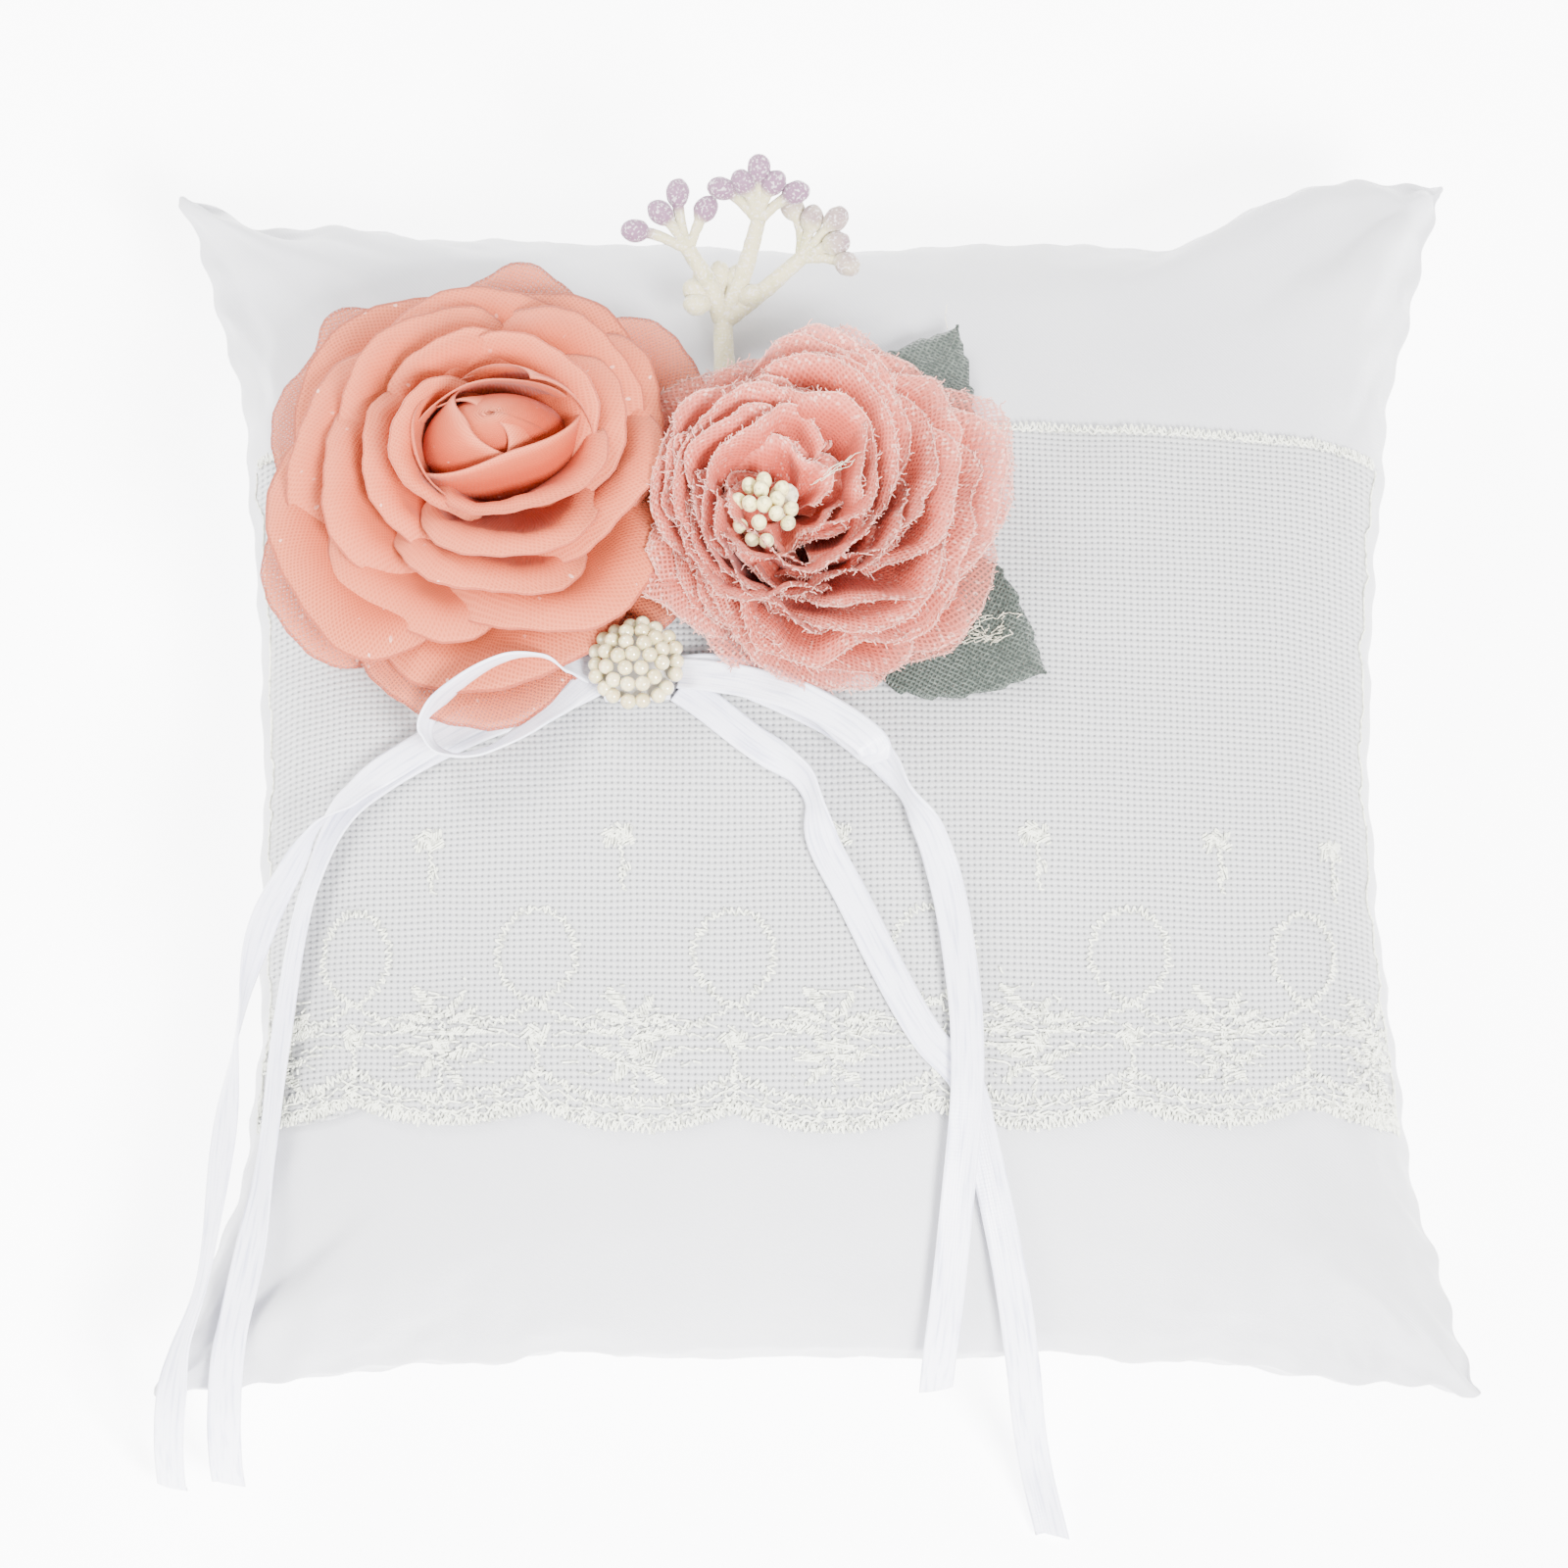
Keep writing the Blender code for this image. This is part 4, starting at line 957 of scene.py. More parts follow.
class LaceBand:
    """Ribbed net across the front, with its embroidery and its corded edge."""

    def __init__(self, cover: PillowCover, size: LaceSize = LaceSize()) -> None:
        """Remember what the lace lies on.

        Args:
            cover: The satin cover.
            size: Sizes of the band.
        """
        self.cover, self.size = cover, size
        self.stitches: list[np.ndarray] = []
        self.limits: dict[tuple[int, float], float] = {}
        self.random = rng(11)

    def drop(self, x: np.ndarray) -> np.ndarray:
        """Depth of the scalloped edge below its cusps."""
        return self.size.scallop * np.abs(np.sin(np.pi * (x - self.size.first_cusp) / self.size.pitch)) ** 0.8

    def swing(self, x: float, level: float) -> float:
        """How much higher a level runs towards the side seams."""
        share = (level - self.size.bottom) / (self.size.top - self.size.bottom)
        part = self.size.bottom_swing + (self.size.top_swing - self.size.bottom_swing) * share
        return part * min(1.0, abs(x) / 0.09) ** 2

    def plan(self, x: float) -> float:
        """Place in plan of a flat place, drawn in where the cloth falls away at the sides."""
        return x * (1 - self.size.squeeze * (x / 0.0925) ** 4)

    def flat(self, x: float) -> float:
        """Flat place of a place in plan."""
        place = x
        for _ in range(8):
            place = x / (1 - self.size.squeeze * (place / 0.0925) ** 4)
        return place

    def limit(self, y: float, side: float) -> float:
        """How far the cover's seam is from its middle at a level, on one side.

        Args:
            y: The level.
            side: -1 on the left, 1 on the right.
        """
        key = round(y / 0.0005)
        if (key, side) not in self.limits:
            far = 0.105
            while far > 0.05 and self.cover.misses(side * far, y):
                far -= 0.0005
            self.limits[key, side] = far - 0.0014
        return self.limits[key, side]

    def lay(self, x: float, level: float, lift: float = 0.0) -> np.ndarray:
        """Point on the band at its flat place."""
        y = level + self.swing(x, level)
        x = max(-self.limit(y, -1), min(self.limit(y, 1), x))
        return np.array(self.cover.land(x, y, self.size.lift + lift))

    def build_net(self, net: bpy.types.Material) -> None:
        """Lay the ribbed net over the satin."""
        size = self.size
        points = np.zeros((size.rows + 1, size.columns + 1, 3))
        places = np.zeros((size.rows + 1, size.columns + 1, 2))
        for i in range(size.columns + 1):
            share = 2 * i / size.columns - 1
            x_far = 0.1 * share
            foot = size.bottom - float(self.drop(np.array(self.flat(0.088 * share))))
            for j in range(size.rows + 1):
                level = foot + (size.top - foot) * j / size.rows
                x = share * self.limit(level + self.swing(x_far, level), 1 if share > 0 else -1)
                ripple = 0.00018 * noise.noise(Vector((x / 0.02, level / 0.012, 1.0)))
                points[j, i] = self.lay(x, level, ripple)
                places[j, i] = (x, level)
        self.net = add_patches("lace_net_cloth", [Patch(points, places)], net)

    def stitch(self, first: tuple[float, float], last: tuple[float, float], lift: float = 0.00022) -> None:
        """One stitch between two flat places."""
        ends = [self.lay(self.plan(x), level, lift) for x, level in (first, last)]
        self.stitches.append(np.array(ends))

    def cord_line(self, path: list[tuple[float, float]], width: float, pitch: float, rough: float = 0.25) -> None:
        """Zigzag stitches that follow a path.

        Args:
            path: Flat places that the line runs through.
            width: Width of the zigzag.
            pitch: Distance from one stitch to the next.
            rough: How uneven the stitches are.
        """
        flat = np.array(path, float)
        gaps = np.hypot(*np.diff(flat, axis=0).T)
        ends = np.concatenate([[0.0], np.cumsum(gaps)])
        total = ends[-1]
        count = max(2, int(total / pitch))
        where = np.linspace(0, total, count + 1)
        line = np.stack([np.interp(where, ends, flat[:, k]) for k in (0, 1)], 1)
        way = np.gradient(line, axis=0)
        way /= np.maximum(np.linalg.norm(way, axis=1, keepdims=True), 1e-9)
        side = np.stack([-way[:, 1], way[:, 0]], 1)
        sign = np.where(np.arange(count + 1) % 2, 1.0, -1.0)
        swerve = sign * width / 2 * (1 + rough * self.random.normal(size=count + 1))
        zig = line + side * swerve[:, None] + way * (rough * pitch * self.random.normal(size=(count + 1, 1)))
        for first, last in zip(zig[:-1], zig[1:]):
            self.stitch(tuple(first), tuple(last), 0.0002 + 0.0001 * self.random.random())

    def leaf(self, root: tuple[float, float], tip: tuple[float, float], width: float, pitch: float = 0.00042) -> None:
        """A satin-stitched leaf from its root to its tip."""
        a, b = np.array(root), np.array(tip)
        span = np.linalg.norm(b - a)
        way = (b - a) / span
        side = np.array([-way[1], way[0]])
        for share in np.arange(0.04, 0.98, pitch / span):
            half = 0.68 * width * math.sin(math.pi * share) ** 0.7 * (1 + 0.35 * self.random.normal())
            middle = a + way * span * share + side * 0.0001 * self.random.normal()
            lean = way * half * 0.7
            self.stitch(tuple(middle - side * half - lean), tuple(middle + side * half + lean), 0.00025)

    def head(self, x: float, y: float, turns: tuple[int, ...], wide: float, tall: float) -> None:
        """A small flower head: short leaves that point outwards at the given turns, in degrees."""
        for turn in turns:
            angle = math.radians(turn)
            self.leaf((x, y), (x + wide * math.cos(angle), y + tall * math.sin(angle)), 0.0013, 0.00045)

    def sprig(self, x: float) -> None:
        """A small flower head with a bent stem under it."""
        y = self.size.sprig_level
        self.head(x, y, (35, 90, 150, 205, 330), 0.0026, 0.0022)
        stem = [(x, y), (x + 0.0006, y - 0.0035), (x + 0.0002, y - 0.0062), (x + 0.0010, y - 0.0085)]
        self.cord_line(stem, 0.0006, 0.0005)
        self.leaf((x + 0.0003, y - 0.0062), (x + 0.0018, y - 0.0042), 0.0009, 0.0005)

    def teardrop(self, x: float) -> None:
        """The open loop above a cusp, with its waved line and the little flower under it."""
        path = []
        for share in np.linspace(0.0, 1.0, 33):
            angle = 2 * math.pi * share
            wide = 0.0062 * math.sin(angle) * (1 - 0.42 * math.cos(angle) ** 2 * (math.cos(angle) > 0))
            path.append((x + wide, self.size.loop_level - 0.0074 * math.cos(angle)))
        self.cord_line(path, 0.0011, 0.00050, 0.35)
        for side in (-1, 1):
            wave = [
                (x + side * s * 0.0150, -0.0456 - 0.0028 * math.sin(math.pi * s) ** 1.2 - 0.0012 * s)
                for s in np.linspace(0, 1, 9)
            ]
            self.cord_line(wave, 0.0009, 0.00055, 0.4)
        self.head(x, self.size.flower_level, (20, 90, 160, 235, 305), 0.0023, 0.0020)
        self.cord_line([(x, -0.0523), (x + 0.0003, -0.0548), (x, -0.0573)], 0.0006, 0.0005)

    def asterisk(self, x: float) -> None:
        """The leafy motif that fills each scallop."""
        up = self.size.motif_lift
        spokes = (
            (-0.0014, -0.0482, -0.0046, -0.0440, 0.0018), (0.0010, -0.0486, 0.0030, -0.0452, 0.0014),
            (-0.0010, -0.0500, -0.0066, -0.0478, 0.0012), (0.0010, -0.0500, 0.0066, -0.0482, 0.0012),
            (-0.0010, -0.0512, -0.0070, -0.0506, 0.0011), (0.0010, -0.0512, 0.0070, -0.0508, 0.0011),
            (0.0000, -0.0550, -0.0028, -0.0516, 0.0015), (0.0000, -0.0550, 0.0028, -0.0518, 0.0015),
            (-0.0010, -0.0556, -0.0062, -0.0540, 0.0012), (0.0010, -0.0556, 0.0062, -0.0542, 0.0012),
            (-0.0006, -0.0562, -0.0044, -0.0592, 0.0014), (0.0006, -0.0562, 0.0044, -0.0594, 0.0014),
        )
        for x0, y0, x1, y1, width in spokes:
            bend = 0.0005 * self.random.normal(size=2)
            self.leaf((x + x0, y0 + up), (x + x1 + bend[0], y1 + up + bend[1]), 0.72 * width)
        self.cord_line([(x, -0.0485 + up), (x + 0.0002, -0.0555 + up), (x, -0.0605 + up)], 0.0009, 0.0005, 0.35)
        for _ in range(self.size.scribbles):
            here = np.array([x, -0.0525 + up]) + self.random.normal(size=2) * (0.0038, 0.0034)
            self.stitch(tuple(here), tuple(here + self.random.normal(size=2) * (0.0020, 0.0005)), 0.0004)
        for side in (-1, 1):
            for row in range(3):
                y = -0.0488 - 0.0024 * row + up
                bar = [(x + side * 0.0045, y), (x + side * 0.0125, y - 0.0012 + 0.0006 * row)]
                self.cord_line(bar, 0.0005, 0.0009, 0.5)

    def border(self, cusp: float) -> None:
        """One scallop: two edge lines and the bars between them."""
        pitch = self.size.pitch
        xs = np.linspace(cusp, cusp + pitch, 31)
        low = [(x, self.size.bottom - float(self.drop(np.array(x))) + 0.0006) for x in xs]
        high = [(x, y + 0.0050 - 0.0012 * math.sin(math.pi * (x - cusp) / pitch)) for x, y in low]
        self.cord_line(low, 0.0014, 0.00040, 0.3)
        self.cord_line([(x, y + 0.0009) for x, y in low], 0.0007, 0.0006, 0.4)
        self.cord_line(high, 0.0012, 0.00048, 0.35)
        for k in range(0, 31, 4):
            (x0, y0), (x1, y1) = low[k], high[k]
            if k % 8 == 0:
                self.cord_line([(x0, y0), (x1, y1)], 0.0011, 0.0005, 0.3)
            else:
                middle = ((x0 + x1) / 2 + 0.0012, (y0 + y1) / 2)
                self.cord_line([(x0, y0), middle, (x1, y1)], 0.0007, 0.0006, 0.4)
        for share in (0.33, 0.62):
            self.cord_line([(x, y + share * 0.0045) for x, y in low[::2]], 0.0005, 0.0010, 0.6)

    def edges(self) -> None:
        """The corded straight edge and the zigzag down the right side seam."""
        xs = np.linspace(-0.0985, 0.0985, 90)
        self.cord_line([(x, self.size.top + 0.0002) for x in xs], 0.0013, 0.00046, 0.22)
        self.cord_line([(x, self.size.top - 0.0004) for x in xs], 0.0006, 0.0007, 0.3)
        for side in (-1, 1):
            column = [(side * 0.1000, y) for y in np.linspace(self.size.bottom, self.size.top - 0.001, 60)]
            self.cord_line(column, 0.0016, 0.0014, 0.35)

    def build_embroidery(self, thread: bpy.types.Material) -> None:
        """Work every motif and sweep the stitches into thread."""
        for x in (-0.0600, -0.0300, 0.0030, 0.0330, 0.0620, 0.0835):
            self.sprig(x)
        cusps = [self.size.first_cusp + self.size.pitch * k for k in range(8)]
        side = 0.0905
        for cusp in cusps:
            if abs(cusp) < side:
                self.teardrop(cusp)
            if abs(cusp + self.size.pitch / 2) < side + 0.003:
                self.asterisk(cusp + self.size.pitch / 2)
            self.border(cusp)
        self.edges()
        kept = [pair for pair in self.stitches if np.linalg.norm(pair[1] - pair[0]) > 0.00012]
        self.work = add_stitches("lace_embroidery", kept, StitchTree(), thread)

    def declare(self) -> None:
        """Attach the net and its embroidery to the body and hide the CAD lace that they replace."""
        for piece, slot in ((self.net, "lace"), (self.work, "lace_thread")):
            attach(piece, BODY)
        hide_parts("lace_net", "lace_scallop_border")
        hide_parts("lace_edge_cord")
        LOG.info("lace: %d stitches, %d faces", len(self.stitches), len(self.work.data.polygons))


# --------------------------------------------------------------------------------- the flowers
@dataclass(frozen=True)
class Seat:
    """Where a flower sits: the middle of its base and the lean of its axis."""

    x: float
    y: float
    lift: float
    lean: tuple[float, float]

    def frame(self, cover: PillowCover) -> Matrix:
        """The flower's own axes, from its base, in world space."""
        up = Vector((self.lean[0], self.lean[1], 1.0)).normalized()
        ahead = Vector((0.0, 1.0, 0.0))
        right = ahead.cross(up).normalized()
        turn = Matrix((right, up.cross(right), up)).transposed().to_4x4()
        level = cover.land(self.x, self.y).z + self.lift
        return Matrix.Translation((self.x, self.y, level)) @ turn


def into(frame_matrix: Matrix, points: np.ndarray) -> np.ndarray:
    """Points of a flower's own axes in world space."""
    m = np.array(frame_matrix)
    return points @ m[:3, :3].T + m[:3, 3]


@dataclass(frozen=True)
class PetalShape:
    """One cupped petal: from its root up and out to a rolled rim.

    Attributes:
        turn: Azimuth of its middle, in radians.
        half: Half its angle at the rim, in radians.
        root: Radius and height of its root.
        rim: Radius and height of its rim.
        belly: How far its side stands out: 0 straight, 1 bowl.
        roll: How far the rim curls over, in metres.
        ruffle: Depth of the waves in the rim, in metres.
        waves: Waves across the rim.
        tuck: How much one side lies inside its neighbour, in metres.
        seed: Picks its own unevenness.
        oval: How much its flower is stretched along X and along Y.
        shift: How far its rim lies off its flower's axis along X and along Y, in metres.
        notch: How far the rim's corners are cut back, as a share of its reach.
    """

    turn: float
    half: float
    root: tuple[float, float]
    rim: tuple[float, float]
    belly: float = 0.6
    roll: float = 0.0012
    ruffle: float = 0.0004
    waves: float = 2.0
    tuck: float = 0.001
    seed: int = 0
    oval: tuple[float, float] = (1.0, 1.0)
    shift: tuple[float, float] = (0.0, 0.0)
    notch: float = 0.24

    def patch(self, veil: float, columns: int = 34, rows: int = 26) -> Patch:
        """The petal as a grid in the flower's own axes.

        Args:
            veil: How sheer the cloth is, from 0 to 1.
            columns: Steps across.
            rows: Steps from root to rim.
        """
        random = rng(self.seed)
        a, b, c, d = random.normal(size=4)
        s, t = np.meshgrid(np.linspace(-1, 1, columns + 1), np.linspace(0, 1, rows + 1))
        nick = 0.05 * abs(d) * np.exp(-(((s - 0.3 * b) / 0.2) ** 2))
        outline = 1 - self.notch * np.abs(s) ** 2.6 + 0.03 * a * s + nick
        reach = t * outline
        angle = self.turn + s * self.half * (0.70 + 0.30 * np.sqrt(reach))
        (r0, z0), (r1, z1) = self.root, self.rim
        q = 1 - reach
        out_r = r0 + (r1 - r0) * (0.62 - 0.35 * (1 - self.belly))
        mid_z = z0 + (z1 - z0) * (0.30 + 0.45 * (1 - self.belly))
        radius = q * q * r0 + 2 * q * reach * out_r + reach * reach * r1
        height = q * q * z0 + 2 * q * reach * mid_z + reach * reach * z1
        lip = smooth(0.80, 1.0, t)
        radius += self.roll * 0.9 * lip
        height -= self.roll * lip * lip
        edge = smooth(0.25, 1.0, t)
        ripple = np.sin(np.pi * self.waves * s + 2.2 * b) + 0.5 * np.sin(np.pi * 2.3 * self.waves * s + 3 * c)
        radius += self.ruffle * ripple * edge + self.tuck * s + 0.0006 * a * edge
        height += self.ruffle * 0.8 * np.cos(np.pi * self.waves * s + 1.7 * d) * edge + 0.0008 * b * edge
        fold = 0.0007 * np.sin(6 * s + 5 * a + 4 * reach) * np.sin(np.pi * t) + 0.00012 * np.sin(31 * s + 5 * b) * t
        radius = radius + fold
        x = radius * np.cos(angle) * self.oval[0] + self.shift[0] * reach
        y = radius * np.sin(angle) * self.oval[1] + self.shift[1] * reach
        points = np.stack([x, y, height], -1)
        span = np.hypot(r1 - r0, z1 - z0) * 1.15
        bias = 0.7
        across, along = s * self.half * max(r1, 0.006), reach * span
        warp = across * bias + along * (1 - bias) + self.seed * 0.013
        places = np.stack([warp, along * bias - across * (1 - bias)], -1)
        rim_mark = np.maximum(t, smooth(0.97, 1.0, np.abs(s)) * (t > 0.35))
        return Patch(points, places, {"rim": rim_mark, "veil": np.full_like(t, veil) * smooth(0.1, 0.5, t)}, flip=True)


class Rose:
    """Large chiffon rose with a rolled oval bud."""

    def __init__(self, cover: PillowCover, seat: Seat = Seat(-0.0505, 0.0385, 0.0026, (-0.09, 0.08))) -> None:
        """Place the rose on the cover."""
        self.cover = cover
        self.frame = seat.frame(cover)

    def rings(self) -> list[tuple]:
        """Petals per ring, turn, root, rim, belly, roll and how sheer, from the outside in."""
        return [
            (6, 0.35, (0.0040, 0.0005), (0.0346, 0.0025), 0.35, 0.0004, 0.80),
            (5, 0.95, (0.0040, 0.0015), (0.0312, 0.0078), 0.60, 0.0022, 0.35),
            (5, 0.25, (0.0040, 0.0030), (0.0272, 0.0124), 0.80, 0.0028, 0.05),
            (5, 0.85, (0.0040, 0.0045), (0.0230, 0.0164), 0.90, 0.0028, 0.0),
            (4, 0.20, (0.0038, 0.0060), (0.0184, 0.0196), 0.95, 0.0026, 0.0),
            (3, 0.95, (0.0036, 0.0070), (0.0140, 0.0220), 0.98, 0.0020, 0.0),
        ]

    def petals(self) -> list[Patch]:
        """Every petal outside the bud."""
        made = []
        for ring, (count, turn, root, rim, belly, roll, veil) in enumerate(self.rings()):
            for k in range(count):
                seed = 100 * ring + k
                wander = rng(seed + 7).normal(size=2)
                shape = PetalShape(
                    turn=turn + 2 * math.pi * k / count + 0.06 * wander[0],
                    half=math.pi / count * (1.62 if ring else 1.30),
                    root=root,
                    rim=(rim[0] * (1 + 0.045 * wander[1]), rim[1] + 0.0008 * wander[0]),
                    belly=belly, roll=roll, ruffle=0.00085, shift=(0.0006 * ring, 0.0002 * ring),
                    waves=1.1, tuck=0.0026, seed=seed, oval=(1.02, 1.10 - 0.025 * ring), notch=0.46 if ring else 0.20,
                )
                made.append(shape.patch(veil))
        return made

    def bud(self) -> list[Patch]:
        """The oval heart: petals wrapped over one another, with a pointed one at its upper right."""
        wraps = (
            (2.6, 3.25, 0.02, 0.06, 2.0, 0.0000), (0.5, 1.5, 0.30, 0.60, 1.6, 0.0008),
            (3.5, 1.4, 0.46, 0.60, 1.8, 0.0015), (1.7, 1.3, 0.66, 0.55, 1.6, 0.0022),
            (5.0, 1.4, 0.76, 0.55, 1.8, 0.0029), (2.9, 1.2, 0.95, 0.45, 1.6, 0.0036),
            (0.7, 1.1, 0.60, 0.95, 1.1, 0.0044),
        )
        return [self.wrap(*values, seed=900 + k) for k, values in enumerate(wraps)]

    def wrap(self, turn: float, half: float, crest: float, fall: float, point: float, swell: float, seed: int) -> Patch:
        """One petal of the bud, from its foot over the dome to a curved rim.

        Args:
            turn: Azimuth of its middle, in radians.
            half: Half its angle, in radians.
            crest: Angle from the dome's top to the middle of the rim.
            fall: How much further the rim's ends are from the top.
            point: 1 for a pointed rim, 2 for a round one.
            swell: How far it lies outside the innermost petal, in metres.
            seed: Picks its own unevenness.
        """
        s, t = np.meshgrid(np.linspace(-1, 1, 57), np.linspace(0, 1, 31))
        a, b = rng(seed).normal(size=2)
        rim = crest + fall * np.abs(s) ** point + 0.03 * np.sin(3 * s + 2 * a)
        polar = 1.95 + (rim - 1.95) * t
        angle = turn + half * s
        out = swell + 0.0010 * smooth(0.70, 1.0, t) + 0.00025 * np.sin(6 * s + 3 * b) * t
        x = (0.0098 + out) * np.sin(polar) * np.cos(angle)
        y = (0.0060 + out) * np.sin(polar) * np.sin(angle)
        z = 0.0150 + (0.0086 + 0.5 * out) * np.cos(polar)
        over = 0.009 * max(0.0, 1 - crest / 0.6) * (swell > 0) * t ** 2
        x, y = x - over * math.cos(turn), y - 0.7 * over * math.sin(turn)
        points = np.stack([x - 0.15 * y + 0.0030, y + 0.15 * x + 0.0010, z], -1)
        places = np.stack([angle * 0.009, polar * 0.010], -1)
        return Patch(points, places, {"rim": t ** 1.3, "veil": np.zeros_like(t)}, flip=True)

    def build(self, chiffon: bpy.types.Material) -> None:
        """Sew the petals together."""
        patches = self.petals() + self.bud()
        for patch in patches:
            patch.points = self.clear(into(self.frame, patch.points))
        self.piece = add_patches("chiffon_rose", patches, chiffon)
        thicken(self.piece, 0.00022)

    def clear(self, points: np.ndarray) -> np.ndarray:
        """Lift what would dip into the cover."""
        return lift_clear(self.cover, points, 0.0022)

    def declare(self) -> None:
        """Attach the rose to the body and hide the CAD bud and petals that it replaces."""
        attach(self.piece, BODY)
        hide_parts("rose_bud", *(f"rose_petals_{k}" for k in range(1, 7)))
        LOG.info("rose: %d faces", len(self.piece.data.polygons))


def lift_clear(cover: PillowCover, points: np.ndarray, gap: float) -> np.ndarray:
    """Points raised to stay a gap above the front of the cover."""
    flat = points.reshape(-1, 3).copy()
    for point in flat:
        floor = cover.land(point[0], point[1]).z + gap
        if point[2] < floor + 0.001:
            over = (floor + 0.001 - point[2]) / 0.002
            point[2] = floor + 0.001 * math.exp(-max(0.0, over) * 1.2)
    return flat.reshape(points.shape)


class OrganzaFlower:
    """Coral flower of frayed sheer ruffles around a bunch of stamens."""

    def __init__(self, cover: PillowCover, seat: Seat = Seat(-0.005, 0.030, 0.0024, (0.0, 0.10))) -> None:
        """Place the flower on the cover."""
        self.cover = cover
        self.frame = seat.frame(cover)

    def rings(self) -> list[tuple]:
        """Ruffles per ring, turn, root, rim, belly, how sheer and how far off the heart."""
        return [
            (6, 0.20, (0.0050, 0.0010), (0.0284, 0.0050), 0.50, 1.00, 1.00),
            (5, 0.75, (0.0065, 0.0015), (0.0256, 0.0094), 0.75, 0.85, 0.85),
            (5, 0.15, (0.0080, 0.0020), (0.0222, 0.0132), 0.88, 0.65, 0.62),
            (4, 0.80, (0.0090, 0.0025), (0.0182, 0.0160), 0.97, 0.50, 0.35),
            (3, 0.35, (0.0060, 0.0030), (0.0140, 0.0166), 1.00, 0.35, 0.12),
            (3, 1.30, (0.0003, 0.0040), (0.0096, 0.0112), 1.00, 0.20, 0.00),
        ]

    def petals(self) -> list[Patch]:
        """Every ruffle: each is a doubled strip with two loose rims."""
        made = []
        for ring, (count, turn, root, rim, belly, veil, off) in enumerate(self.rings()):
            for k in range(count):
                for layer in range(2):
                    seed = 2000 + 100 * ring + 10 * k + layer
                    wander = rng(seed).normal(size=3)
                    shape = PetalShape(
                        turn=turn + 2 * math.pi * k / count + 0.08 * wander[0] + 0.05 * layer,
                        half=math.pi / count * 1.55,
                        root=root,
                        rim=(rim[0] * (1 + 0.03 * wander[1]) - 0.0018 * layer, rim[1] + 0.0011 * layer),
                        belly=belly, roll=0.0010, ruffle=0.0016, waves=1.25 + 0.3 * wander[2],
                        tuck=0.0024, seed=seed, oval=(0.94, 1.08), shift=(0.0065 * off, 0.001 * off), notch=0.28,
                    )
                    made.append(shape.patch(veil, 44, 20))
        return made

    def build(self, organza: bpy.types.Material) -> None:
        """Sew the ruffles together and keep their rims for fraying."""
        patches = self.petals()
        for patch in patches:
            patch.points = lift_clear(self.cover, into(self.frame, patch.points), 0.0022)
        self.piece = add_patches("organza_flower", patches, organza)
        self.rims = [(patch.points[-1], patch.points[-3]) for patch in patches]

    def fray(self, thread: bpy.types.Material) -> None:
        """Loose threads along every cut rim."""
        random, lines = rng(21), []
        for rim, inner in self.rims:
            way = rim - inner
            way /= np.maximum(np.linalg.norm(way, axis=1, keepdims=True), 1e-9)
            for k in range(len(rim) - 1):
                for _ in range(2):
                    start = rim[k] + (rim[k + 1] - rim[k]) * random.random()
                    end = rim[k] + (rim[k + 1] - rim[k]) * random.random() + 0.00025 * random.normal(size=3)
                    lines.append((start - way[k] * 0.0003, end))
                if random.random() < 0.30:
                    tip = rim[k] + way[k] * 0.0008 * random.random() + 0.00045 * random.normal(size=3)
                    lines.append((rim[k], tip))
        hair = StitchTree(radius=0.000085, waver=0.0001, seed=5)
        self.threads = add_stitches("organza_frayed_rims", lines, hair, thread)

    def heart(self, cream: bpy.types.Material, thread: bpy.types.Material) -> None:
        """The bunch of stamens and the loose threads beside it."""
        random = rng(31)
        spots, leans = [], []
        for radius, count, rise, shift in ((0.0, 1, 0.0026, 0.0), (0.0024, 5, 0.0022, 0.4), (0.0044, 9, 0.0008, 0.1)):
            for k in range(count):
                angle = shift + 2 * math.pi * k / max(1, count) + 0.15 * random.normal()
                spot = np.array([
                    radius * math.cos(angle) * 0.92 - 0.0030,
                    radius * math.sin(angle) * 1.18 - 0.0036,
                    0.0122 + rise + 0.0004 * random.normal(),
                ])
                spots.append(into(self.frame, spot))
                leans.append((math.cos(angle) * radius * 60, math.sin(angle) * radius * 60, 1.0))
        heads = BeadTree(diameter=0.0024, spread=0.08, stretch=(1.0, 1.0, 1.5), seed=3)
        self.stamens = add_beads("stamen_bunch", np.array(spots), np.array(leans), heads, cream)
        lines = []
        for k in range(7):
            here = into(self.frame, np.array([0.0040 + 0.0005 * k, 0.0005 + 0.0004 * k, 0.0135]))
            for _ in range(6):
                step = np.array([0.0008, 0.0004, 0.0001]) * (0.5 + random.random())
                there = here + step + 0.0004 * random.normal(size=3)
                lines.append((here, there))
                here = there
        wisp = StitchTree(radius=0.00005, waver=0.00005, seed=8)
        self.loose = add_stitches("stamen_loose_threads", lines, wisp, thread)

    def declare(self) -> None:
        """Attach the flower, its frayed threads, stamens and loose threads to the body and hide the CAD ruffles and
        stamens.
        """
        for piece, slot in (
            (self.piece, "coral_organza"), (self.threads, "coral_organza"),
            (self.stamens, "stamen_heads"), (self.loose, "flower_thread"),
        ):
            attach(piece, BODY)
        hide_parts(*(f"organza_ruffle_{k}" for k in range(1, 6)))
        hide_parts("stamen_outer_heads", "stamen_inner_heads")
        LOG.info("organza flower: %d faces", len(self.piece.data.polygons))


